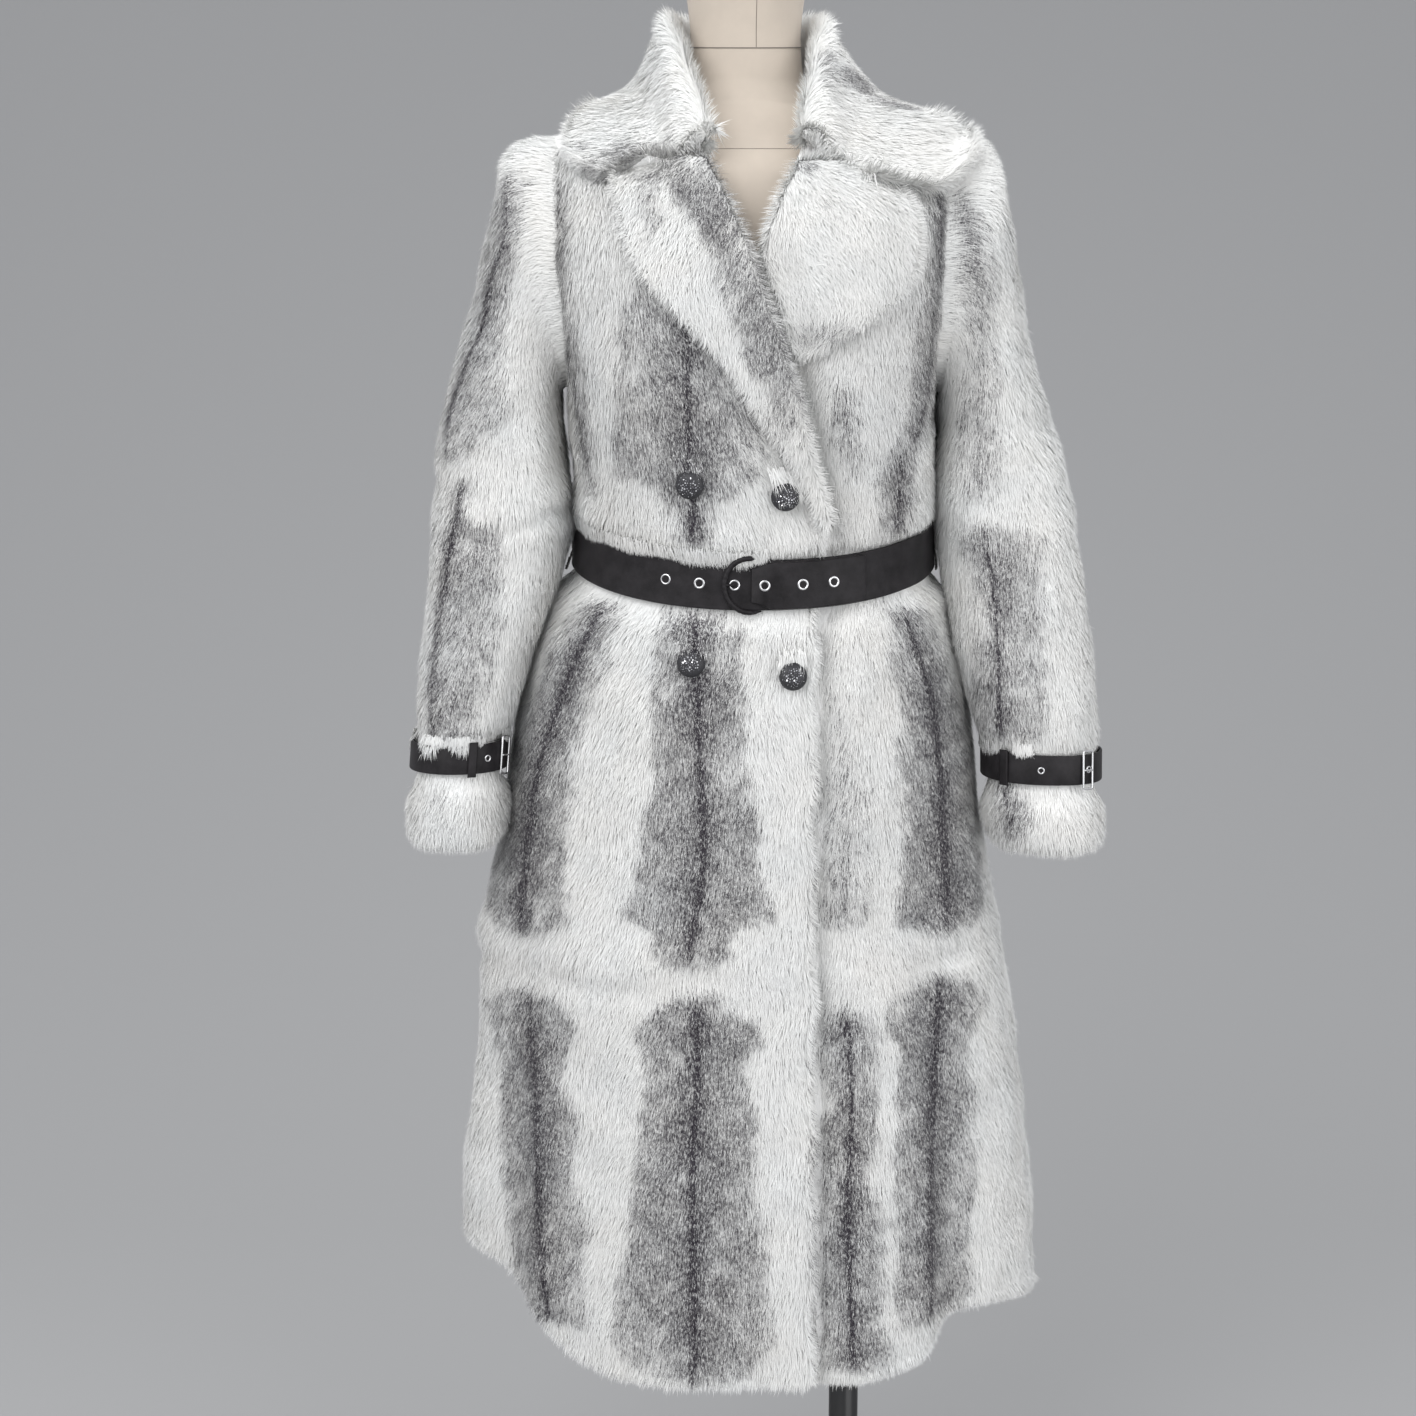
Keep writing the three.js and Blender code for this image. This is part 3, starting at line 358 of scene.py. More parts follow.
def collar_bed():
    """Points that the collar lies on, with their directions."""
    levels, turns = np.meshgrid(np.linspace(1210, 1450, 40), np.arange(0, 360, 5), indexing="ij")
    points = [coat_face(turns, levels).reshape(-1, 3)]
    normals = [coat_normal(turns, levels).reshape(-1, 3)]
    for sheet, side in ((SLEEVE_LEFT, 1), (SLEEVE_RIGHT, -1)):
        rows, round_it = np.meshgrid(np.linspace(0, 3, 7), np.arange(0, 360, 12), indexing="ij")
        ring = sleeve_face(sheet, side, rows, round_it)
        points.append(ring.reshape(-1, 3))
        normals.append(unit(ring - ring.mean(1, keepdims=True)).reshape(-1, 3))
    return np.concatenate(points), np.concatenate(normals)


def collar_face(stations, shares, lift):
    """The collar from the neck seam over the fold to its free edge; lift is out of the fur."""
    neck, fold, edge = (
        np.stack([read(COLLAR, stations, f"{line}_{axis}") for axis in "xyz"], -1)
        for line in ("neck", "fold", "edge")
    )
    out = edge - fold
    out[..., 2] = 0
    out = unit(out)
    up = np.array([0.0, 0.0, 1.0])
    stand = np.linalg.norm(fold - neck, axis=-1, keepdims=True)
    fall = np.linalg.norm(edge - fold, axis=-1, keepdims=True)
    rise = np.minimum(stand / COLLAR_STAND, 1)
    drop = COLLAR_ROUND * rise
    profile = [
        neck,
        (neck + fold) / 2 - 1.5 * rise * out,
        fold + out - 0.6 * drop * up,
        fold + out * COLLAR_ROUND / 2,
        fold + out * COLLAR_ROUND - 0.85 * drop * up,
        (fold + edge) / 2 - COLLAR_SAG * fall * up,
        edge,
    ]
    points = smooth_curve(profile, shares)
    spots, ways = collar_bed()
    flat = points.reshape(-1, 3)
    nearest = np.concatenate(
        [((part[:, None] - spots) ** 2).sum(-1).argmin(1) for part in np.array_split(flat, 24)]
    )
    height = ((flat - spots[nearest]) * ways[nearest]).sum(-1)
    short = np.maximum(FUR / 2 + SEAM - height, 0).reshape(points.shape[:-1])
    short *= np.asarray(shares) > 0.3
    points += ways[nearest].reshape(points.shape) * short[..., None]
    along = np.gradient(points, axis=1)
    side = np.cross(out, up)[:, None]
    return points - unit(np.cross(along, side)) * lift


def waves(points, size, seed, count=14):
    """A smooth field from -1 to 1 over points, its bumps about size across."""
    rng = np.random.default_rng(seed)
    ways = unit(rng.normal(size=(count, 3))) * (2 * np.pi / (size * rng.uniform(1.4, 3, (count, 1))))
    shifts = rng.uniform(0, 2 * np.pi, count)
    total = sum(np.sin(points @ way + shift) for way, shift in zip(ways, shifts, strict=True))
    return total / math.sqrt(count / 2) / 1.6


def skin_of(points, flip=False, closed=False, relief=None):
    """A grid of points at the hair's tips, with outward normals and the way down the rows."""

    def ways(grid):
        if closed:
            wide = np.concatenate([grid[:, -3:-1], grid, grid[:, 1:3]], 1)
            across = np.gradient(wide, axis=1)[:, 2:-2]
        else:
            across = np.gradient(grid, axis=1)
        down = np.gradient(grid, axis=0)
        normal = unit(np.cross(down, across))
        return (-normal if flip else normal), unit(down)

    normals, down = ways(points)
    if relief is not None:
        points = points + normals * relief(points)[..., None]
        normals, down = ways(points)
    return SimpleNamespace(points=points, normals=normals, down=down, closed=closed)


def crease_relief(points):
    """Soft lumps of the pile and its uneven seams, in millimetres."""
    return 1.1 * waves(points, 26, 11) + 1.0 * waves(points, 60, 12) - 0.8


def pelt_creases(points, seams):
    """Troughs along the seams that join one row of skins to the next."""
    x, z = points[..., 0], points[..., 2]
    total = np.zeros_like(x)
    for height, tilt, depth, width, seed in seams:
        wander = 7 * waves(points * (1, 1, 0.2), 70, seed)
        away = z - (height + tilt * x + wander)
        deep = depth * (0.7 + 0.7 * waves(points * (1, 1, 0.2), 50, seed + 50))
        total -= deep * np.exp(-((away / width) ** 2))
        total += 0.6 * deep * np.exp(-(((away - 2.2 * width) / (1.9 * width)) ** 2))
    return total


# Heights where rows of skins are joined: height, tilt, depth, width, seed
BODY_SEAMS = ((698, 0.05, 2.0, 8, 31), (1168, 0.0, 1.0, 8, 32), (1296, 0.0, 1.0, 8, 33))
SLEEVE_SEAMS = ((1122, 0.2, 1.8, 8, 41), (1062, -0.2, 1.0, 8, 42), (962, 0.2, 0.9, 9, 43))


# Fuller tufts of the pile: x, height, radius, how far they stand out
PUFFS = (
    (-148, 720, 24, 3.5),
    (-238, 712, 24, 4.0),
    (-96, 712, 20, 2.5),
    (188, 704, 24, 3.0),
    (116, 712, 18, 2.0),
    (-120, 1096, 22, 2.5),
    (104, 1092, 20, 2.0),
)


def under_band(points, height, tilt, rise, half):
    """1 where the pile is pressed flat by a belt or strap."""
    y = points[..., 1]
    middle = height + tilt * y + rise * (1 - (y / WAIST_DEPTH) ** 2)
    return 1 - smooth((np.abs(points[..., 2] - middle) - half) / 12)


def body_relief(points):
    x, z = points[..., 0], points[..., 2]
    total = crease_relief(points) + pelt_creases(points, BODY_SEAMS)
    ahead = points[..., 1] < 0
    for at, height, radius, out in PUFFS:
        away = ((x - at) ** 2 + (z - height) ** 2) / radius**2
        total += out * np.exp(-away) * ahead
    total += 6.5 * np.exp(-(((z - 1112) / 62) ** 2)) * smooth((np.abs(x) - 128) / 24)
    pressed = under_band(points, WAIST_LEVEL + WAIST_LIFT, WAIST_TILT, WAIST_RISE, BELT_WIDTH / 2)
    return total * (1 - pressed) - 1.0 * pressed


def sleeve_relief(sheet, side, turns):
    """Lumps and creases of a sleeve, fuller on its inner side where it leans on the body."""
    low, high = (read(sheet, row, "out_z") for row in STRAP_ROWS)
    inner = smooth((-np.cos(np.radians(turns)) - 0.1) / 0.6)
    low_fill = 10 if side > 0 else 3

    def relief(points):
        z = points[..., 2]
        total = crease_relief(points) + pelt_creases(points, SLEEVE_SEAMS)
        fill = 9 * np.exp(-(((z - 1105) / 70) ** 2))
        fill += low_fill * np.exp(-(((z - 960) / 70) ** 2))
        total += fill * inner
        pressed = under_band(points, (low + high) / 2, 0, 0, (low - high) / 2)
        return total * (1 - pressed) - 1.2 * pressed

    return relief


EDGE_ROOM = 7  # how far inside a free edge the last hair is rooted
HEM_ROOM = 9


def body_levels():
    return np.concatenate([
        np.arange(1449, 1392, -2.5),
        np.arange(1390, 1100, -8.0),
        np.arange(1096, 1000, -5.0),
        np.arange(992, HEM_LEVEL + HEM_ROOM, -9.0),
        [HEM_LEVEL + HEM_ROOM],
    ])


def back_skin():
    levels, turns = np.meshgrid(body_levels(), np.linspace(91, 269, 90), indexing="ij")
    skin = skin_of(coat_face(turns, levels), relief=body_relief)
    skin.levels, skin.turns = levels, turns
    return skin


def front_right_skin():
    levels = body_levels()
    wavy = 1.6 * np.sin(levels / 17) + 1.4 * np.sin(levels / 9.7 + 1)
    wavy *= levels < 1010
    ends = turn_at(read(OVER_EDGE, levels, "x") - EDGE_ROOM + wavy, levels)
    shares = np.linspace(0, 1, 66)
    turns = -89 + (ends[:, None] + 89) * shares
    levels = np.broadcast_to(levels[:, None], turns.shape)
    skin = skin_of(coat_face(turns, levels), relief=body_relief)
    skin.levels, skin.turns = levels, turns
    return skin


def front_left_skin():
    levels = body_levels()
    starts = turn_at(np.maximum(read(UNDER_EDGE, levels, "x"), read(OVER_EDGE, levels, "x") - 30), levels)
    shares = np.linspace(0, 1, 60)
    turns = starts[:, None] + (89 - starts[:, None]) * shares
    levels = np.broadcast_to(levels[:, None], turns.shape)
    beyond = coat_face(turns, levels)[..., 0] - read(OVER_EDGE, levels, "x")
    gap = 3.5 * np.exp(-(((beyond - 3) / 9) ** 2)) * (np.abs(levels - WAIST_LEVEL) > 34)
    points = coat_point(turns, levels, under_lift(turns, levels) - gap)
    skin = skin_of(points, relief=body_relief)
    skin.levels, skin.turns = levels, turns
    return skin


def sleeve_skin(sheet, side):
    """A sleeve's face; its head runs on inwards, under the pile of the body."""
    rows = np.interp(np.linspace(0, 1, 102), [0, 0.07, 0.18, 0.53, 1], [-1, 0, 2.6, 7.4, 13.7])
    turns = np.linspace(0, 360, 61) * side
    rows, turns = np.meshgrid(rows, turns, indexing="ij")
    points = sleeve_face(sheet, side, rows.clip(0), turns)
    points[..., 0] += (side * 157 - points[..., 0]) * (-rows).clip(0)
    skin = skin_of(points, closed=True, relief=sleeve_relief(sheet, side, turns))
    skin.levels, skin.turns = rows, turns
    return skin


def lapel_relief(points):
    return crease_relief(points) + 1.6 * waves(points * (1, 1, 0.4), 34, 13)


def collar_skin():
    stations = np.linspace(0.12, 9.88, 110)
    shares = np.linspace(0.03, 0.965, 56)
    points = collar_face(stations, shares, FUR / 2).transpose(1, 0, 2)
    skin = skin_of(points, flip=True, relief=crease_relief)
    skin.levels, skin.turns = np.meshgrid(shares, stations, indexing="ij")
    return skin


def lapel_skin(sheet, side, carrier_lift):
    levels = np.linspace(sheet["level"][-1] - 4, sheet["level"][0] + 5, 70)
    roll, edge = read(sheet, levels, "roll"), read(sheet, levels, "edge")
    width = np.maximum(np.abs(edge - roll), 1)
    room = np.minimum(EDGE_ROOM / width, 0.3)
    shares = room[:, None] * 0.6 + (1 - 1.6 * room[:, None]) * np.linspace(0, 1, 36)
    x = roll[:, None] + (edge - roll)[:, None] * shares
    levels = np.broadcast_to(levels[:, None], x.shape)
    turns = turn_at(x, levels)
    lift = SEAM + LAPEL_FUR + carrier_lift(turns, levels)
    skin = skin_of(coat_point(turns, levels, lift), flip=side < 0, relief=lapel_relief)
    skin.levels, skin.turns = levels, turns
    return skin


# Grey stripes of the skins, seen from the front (y below the middle) or the back: height, x,
# half width and strength. Each ends where a skin is joined to the next.
FRONT_STRIPES = (
    table(
        "z x half tone",
        *((700, -50, 16, 0.5), (716, -51, 33, 0.8), (736, -50, 34, 0.8), (746, -48, 66, 0.8)),
        *((760, -45, 62, 0.85), (803, -42, 52, 0.85), (882, -43, 40, 0.85), (983, -47, 38, 0.8)),
        *((1011, -50, 24, 0.6),),
    ),
    table(
        "z x half tone",
        *((346, -50, 40, 0.7), (376, -50, 67, 0.8), (470, -50, 60, 0.9), (592, -46, 46, 0.9)),
        *((630, -46, 44, 0.85), (640, -46, 54, 0.85), (652, -46, 52, 0.85), (664, -47, 34, 0.8)),
        *((684, -47, 16, 0.5),),
    ),
    table(
        "z x half tone",
        *((716, -205, 20, 0.5), (730, -206, 40, 0.8), (744, -207, 42, 0.85), (850, -194, 34, 0.85)),
        *((933, -165, 30, 0.8), (1012, -132, 22, 0.6)),
    ),
    table(
        "z x half tone",
        *((376, -179, 36, 0.7), (487, -188, 36, 0.85), (620, -197, 34, 0.85), (640, -197, 44, 0.8)),
        *((668, -198, 30, 0.6),),
    ),
    table(
        "z x half tone",
        *((722, 176, 20, 0.5), (738, 176, 44, 0.8), (752, 177, 40, 0.85), (924, 163, 30, 0.85)),
        *((1012, 138, 22, 0.6),),
    ),
    table(
        "z x half tone",
        *((386, 163, 34, 0.7), (500, 165, 36, 0.85), (630, 167, 36, 0.8), (655, 168, 46, 0.8)),
        *((684, 168, 26, 0.5),),
    ),
    table(
        "z x half tone",
        *((732, 82, 24, 0.3), (745, 82, 27, 0.3), (860, 80, 24, 0.16), (940, 72, 18, 0.08)),
    ),
    table(
        "z x half tone",
        *((350, 92, 30, 0.6), (380, 90, 32, 0.75), (505, 86, 30, 0.75), (630, 86, 26, 0.7)),
        *((650, 84, 30, 0.65), (668, 84, 20, 0.2)),
    ),
    table(
        "z x half tone",
        *((1063, -51, 14, 0.6), (1095, -51, 18, 0.8), (1108, -51, 34, 0.8), (1122, -53, 62, 0.75)),
        *((1185, -53, 64, 0.75), (1243, -53, 60, 0.7), (1290, -50, 42, 0.4), (1330, -48, 30, 0.1)),
    ),
    table(
        "z x half tone",
        *((1096, -136, 8, 0.3), (1122, -141, 9, 0.4), (1172, -150, 9, 0.4), (1222, -160, 9, 0.45)),
        *((1262, -172, 10, 0.45), (1330, -172, 9, 0.4), (1372, -166, 8, 0.2)),
    ),
    table(
        "z x half tone",
        *((1130, 132, 12, 0.3), (1160, 150, 18, 0.45), (1187, 158, 21, 0.5), (1245, 160, 19, 0.45)),
        *((1285, 166, 12, 0.4), (1351, 166, 15, 0.55), (1375, 158, 10, 0.3)),
    ),
    table(
        "z x half tone",
        *((1066, 130, 14, 0.5), (1090, 132, 16, 0.6), (1126, 132, 17, 0.5), (1146, 130, 8, 0.2)),
    ),
    table("z x half tone", (1120, 84, 12, 0.1), (1161, 79, 17, 0.35), (1200, 78, 12, 0.1)),
)
UPPER_SKIN = table(
    "share half tone",
    *((0, 16, 0.5), (0.05, 33, 0.8), (0.11, 34, 0.8), (0.14, 60, 0.8), (0.3, 50, 0.85)),
    *((0.6, 38, 0.85), (0.92, 34, 0.8), (1, 20, 0.5)),
)
LOWER_SKIN = table(
    "share half tone",
    *((0, 40, 0.7), (0.1, 60, 0.8), (0.4, 54, 0.88), (0.75, 42, 0.88), (0.86, 42, 0.85)),
    *((0.9, 52, 0.85), (0.94, 48, 0.8), (1, 18, 0.5)),
)
# Stripes of the back, each from bottom to top: x and height of both ends, and its size
BACK_STRIPES = (
    (0, 352, 0, 690, 1.0, LOWER_SKIN),
    (-128, 356, -112, 676, 0.92, LOWER_SKIN),
    (124, 350, 110, 682, 0.95, LOWER_SKIN),
    (-236, 380, -206, 668, 0.7, LOWER_SKIN),
    (236, 356, 204, 674, 0.7, LOWER_SKIN),
    (2, 706, -2, 1040, 0.95, UPPER_SKIN),
    (-110, 700, -74, 1036, 0.85, UPPER_SKIN),
    (108, 708, 80, 1038, 0.88, UPPER_SKIN),
    (-204, 704, -134, 1034, 0.7, UPPER_SKIN),
    (202, 700, 140, 1036, 0.7, UPPER_SKIN),
    (-2, 1076, 0, 1392, 1.0, UPPER_SKIN),
    (-96, 1078, -112, 1380, 0.8, UPPER_SKIN),
    (98, 1076, 112, 1384, 0.8, UPPER_SKIN),
)


def stripe_strength(x, z, points, stripes):
    """The strongest stripe at each point, its edges uneven, and nearness to its dark middle."""
    uneven = 4 * waves(points, 26, 51) + 3 * waves(points, 9, 52)
    wander = 4 * waves(points * (1, 1, 0.5), 40, 53)
    mottle = 1 + 0.3 * waves(points, 11, 54) + 0.2 * waves(points, 30, 55)
    best, core = np.zeros_like(x), np.zeros_like(x)
    for sheet in stripes:
        low, high = sheet["z"][0], sheet["z"][-1]
        inside = smooth((z - low + wander + 4) / 12) * smooth((high - z + wander + 4) / 12)
        away = np.abs(x - read(sheet, z, "x") - 0.5 * wander)
        half = np.maximum(read(sheet, z, "half") + uneven, 2)
        strength = read(sheet, z, "tone") * inside
        fade = 1 - smooth((away - half + 7) / 14)
        tone = strength * (1 - 0.38 * smooth(away / half)) * fade * mottle
        line = read(sheet, z, "line") * inside if "line" in sheet else strength
        lean = read(sheet, z, "lean") if "lean" in sheet else 0
        off = x - read(sheet, z, "x") - lean - 0.5 * wander
        near = 0.8 * np.exp(-((off / 3) ** 2)) + 0.35 * np.exp(-((off / 12) ** 2))
        best = np.maximum(best, tone.clip(0, 1))
        core = np.maximum(core, near * line)
    return best, core


def back_stripes():
    sheets = []
    for low_x, low_z, high_x, high_z, size, shape in BACK_STRIPES:
        share = shape["share"]
        sheets.append({
            "z": low_z + (high_z - low_z) * share,
            "x": low_x + (high_x - low_x) * share,
            "half": shape["half"] * size,
            "tone": shape["tone"],
        })
    return sheets


def body_pattern(points, facing):
    x, z = points[..., 0], points[..., 2]
    front = smooth((0.25 - facing[..., 1]) / 0.4)
    ahead, ahead_core = stripe_strength(x, z, points, FRONT_STRIPES)
    behind, behind_core = stripe_strength(x, z, points, back_stripes())
    return ahead * front + behind * (1 - front), ahead_core * front + behind_core * (1 - front)


SLEEVE_STRIPES = {
    -1: (
        table(
            "z x half tone lean line",
            *((1130, -257, 14, 0.4, -13, 0.9), (1174, -240, 30, 0.45, -29, 0.9)),
            *((1208, -238, 26, 0.5, -19, 0.9), (1253, -230, 21, 0.45, -3, 0.8)),
            *((1287, -225, 19, 0.45, -2, 0.8), (1325, -214, 17, 0.45, 1, 0.7)),
            *((1365, -211, 15, 0.4, 1, 0.6), (1388, -206, 9, 0.1, 0, 0.1)),
        ),
        table(
            "z x half tone lean line",
            *((886, -262, 25, 0.5, -14, 0.6), (915, -262, 26, 0.55, -18, 0.7)),
            *((954, -253, 28, 0.55, -25, 0.8), (1003, -250, 28, 0.55, -22, 0.8)),
            *((1050, -246, 32, 0.55, -20, 0.9), (1072, -246, 30, 0.5, -15, 0.9)),
            *((1082, -255, 14, 0.45, -2, 0.9), (1120, -252, 8, 0.3, 0, 0.8)),
        ),
        table(
            "z x half tone lean line",
            *((812, -262, 8, 0.05, 0, 0.0), (835, -270, 12, 0.14, 0, 0.0), (852, -274, 8, 0.2, 0, 0.3)),
        ),
    ),
    1: (
        table(
            "z x half tone lean line",
            *((1096, 196, 16, 0.25, 0, 0.1), (1150, 198, 20, 0.34, 0, 0.1)),
            *((1230, 200, 20, 0.3, 0, 0.1), (1290, 196, 18, 0.4, 0, 0.2)),
            *((1345, 184, 12, 0.45, 0, 0.3), (1368, 180, 8, 0.2, 0, 0.1)),
        ),
        table(
            "z x half tone lean line",
            *((886, 226, 30, 0.6, -6, 0.8), (915, 226, 32, 0.6, -10, 0.8)),
            *((1000, 226, 32, 0.55, -14, 0.8), (1040, 224, 32, 0.5, -16, 0.8)),
            *((1054, 218, 40, 0.5, -14, 0.7), (1066, 216, 42, 0.45, -12, 0.6)),
            *((1080, 204, 14, 0.25, 0, 0.3),),
        ),
        table(
            "z x half tone lean line",
            *((800, 228, 14, 0.25, -4, 0.3), (822, 230, 19, 0.45, -6, 0.6), (856, 226, 16, 0.4, -6, 0.4)),
        ),
    ),
}


def sleeve_pattern(side):
    def pattern(points, facing):
        x, z = points[..., 0], points[..., 2]
        shifted = x + side * 18 * smooth(facing[..., 1] / 0.6)
        return stripe_strength(shifted, z, points, SLEEVE_STRIPES[side])

    return pattern


# Grey patches: middle, radii and strength
COLLAR_PATCHES = (
    (-112, -118, 1388, 30, 30, 18, 0.55),
    (-84, -122, 1396, 28, 24, 14, 0.45),
    (98, -40, 1462, 26, 40, 17, 0.8),
    (124, -30, 1442, 22, 40, 10, 0.7),
    (70, -60, 1470, 12, 40, 26, 0.35),
    (0, 110, 1440, 26, 30, 60, 0.65),
    (-84, 70, 1450, 16, 24, 34, 0.35),
    (92, 70, 1452, 16, 24, 34, 0.35),
)
LAPEL_OVER_PATCHES = (
    (-62, -130, 1372, 40, 60, 9, 0.45),
    (-84, -130, 1345, 12, 60, 26, 0.25),
)
LAPEL_UNDER_PATCHES = (
    (46, -110, 1380, 15, 40, 9, 0.6),
    (66, -110, 1350, 10, 40, 8, 0.25),
    (56, -160, 1238, 30, 60, 13, 0.3),
)


def patch_pattern(patches, roll_band=None):
    """Grey patches, and a band along the line where a lapel rolls over: its sheet and strength."""

    def pattern(points, facing):
        best = np.zeros(points.shape[:-1])
        uneven = 0.35 * waves(points, 14, 61)
        for patch in patches:
            away = np.sqrt((((points - patch[:3]) / patch[3:6]) ** 2).sum(-1)) + uneven
            best = np.maximum(best, patch[6] * (1 - smooth((away - 0.45) / 0.75)))
        if roll_band:
            sheet, strength = roll_band
            z = points[..., 2]
            inside = read(sheet, z, "roll") - points[..., 0]
            wide = 26 + 12 * smooth((z - 1300) / 60) + 6 * waves(points, 22, 62)
            fade = (1 - smooth((inside - wide) / 14)) * smooth((z - 1110) / 120)
            mottle = 1 + 0.45 * waves(points, 12, 63) + 0.3 * waves(points, 34, 64)
            best = np.maximum(best, strength * fade * mottle)
        return best.clip(0, 1), 0 * best

    return pattern


def mesh_object(name, points, faces, material, soft=True):
    """An object from millimetre points and faces with equal numbers of corners."""
    mesh = bpy.data.meshes.new(name)
    faces = np.asarray(faces, np.int32)
    mesh.vertices.add(len(points))
    mesh.vertices.foreach_set("co", (np.asarray(points) / 1000).astype(np.float32).ravel())
    mesh.loops.add(faces.size)
    mesh.loops.foreach_set("vertex_index", faces.ravel())
    mesh.polygons.add(len(faces))
    mesh.polygons.foreach_set("loop_start", np.arange(0, faces.size, faces.shape[1], dtype=np.int32))
    mesh.polygons.foreach_set("use_smooth", np.full(len(faces), soft))
    mesh.update(calc_edges=True)
    mesh.materials.append(material)
    made = bpy.data.objects.new(name, mesh)
    bpy.context.scene.collection.objects.link(made)
    return made


def keep_number(made, name, values):
    layer = made.data.attributes.new(name, "FLOAT", "POINT")
    layer.data.foreach_set("value", np.asarray(values, np.float32).ravel())


def finish_piece(made, slot, *nodes):
    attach(made, BODY)
    if nodes:
        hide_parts(*nodes)
    return made


def grid_faces(rows, columns, shown=None):
    i, j = np.meshgrid(np.arange(rows - 1), np.arange(columns - 1), indexing="ij")
    corner = i * columns + j
    faces = np.stack([corner, corner + columns, corner + columns + 1, corner + 1], -1)
    return faces[shown] if shown is not None else faces.reshape(-1, 4)


def shell_object(name, skin, shown, depth, thickness, material, pattern):
    """The skin under the hair: a thin closed wall, open where a cell isn't shown."""
    rows, columns = skin.points.shape[:2]
    step_r, step_c = skin.shell_step
    keep_r = np.unique(np.append(np.arange(0, rows, step_r), rows - 1))
    keep_c = np.unique(np.append(np.arange(0, columns, step_c), columns - 1))
    points = skin.points[np.ix_(keep_r, keep_c)]
    normals = skin.normals[np.ix_(keep_r, keep_c)]
    cells = shown[np.ix_(keep_r[:-1], keep_c[:-1])]
    rows, columns = points.shape[:2]
    outer = points - normals * depth
    inner = points - normals * (depth + thickness)
    count = rows * columns
    faces = grid_faces(rows, columns, cells)
    if skin.closed:
        faces = np.where(faces % columns == columns - 1, faces - columns + 1, faces)
    if np.dot(np.cross(points[1, 0] - points[0, 0], points[0, 1] - points[0, 0]), normals[0, 0]) < 0:
        faces = faces[:, ::-1]
    starts = faces.ravel()
    ends = np.roll(faces, -1, axis=1).ravel()
    edges = set(zip(starts.tolist(), ends.tolist(), strict=True))
    rim = [(a, b) for a, b in edges if (b, a) not in edges]
    rim_faces = np.array([(b, a, a + count, b + count) for a, b in rim], np.int64).reshape(-1, 4)
    everything = np.concatenate([faces, faces[:, ::-1] + count, rim_faces])
    both = np.concatenate([outer.reshape(-1, 3), inner.reshape(-1, 3)])
    used, where = np.unique(everything, return_inverse=True)
    made = mesh_object(name, both[used], where.reshape(everything.shape), material)
    tone, _ = pattern(points, normals)
    keep_number(made, "tone", np.concatenate([tone.ravel() * 0.8, np.zeros(count) - 1])[used])
    return made


def sample(grid, row, column):
    """Values of a grid between its points."""
    i, j = row.astype(int), column.astype(int)
    u, v = (row - i)[:, None], (column - j)[:, None]
    return (
        grid[i, j] * (1 - u) * (1 - v)
        + grid[i + 1, j] * u * (1 - v)
        + grid[i, j + 1] * (1 - u) * v
        + grid[i + 1, j + 1] * u * v
    )


def hair_roots(skin, density, count, rng):
    """Random places on the skin, more where density is higher."""
    points = skin.points
    one, two = points[1:, 1:] - points[:-1, :-1], points[1:, :-1] - points[:-1, 1:]
    area = np.linalg.norm(np.cross(one, two), axis=-1) / 2 * density
    cells = rng.choice(area.size, count, p=area.ravel() / area.sum())
    row = cells // area.shape[1] + rng.random(count)
    column = cells % area.shape[1] + rng.random(count)
    return row, column


def nearest_tufts(places, tufts):
    tree = KDTree(len(tufts))
    for i, place in enumerate(tufts):
        tree.insert(place, i)
    tree.balance()
    return np.array([tree.find(place)[1] for place in places])


HAIR_DEPTH = 5.3  # roots under the outer face, at which the tips end


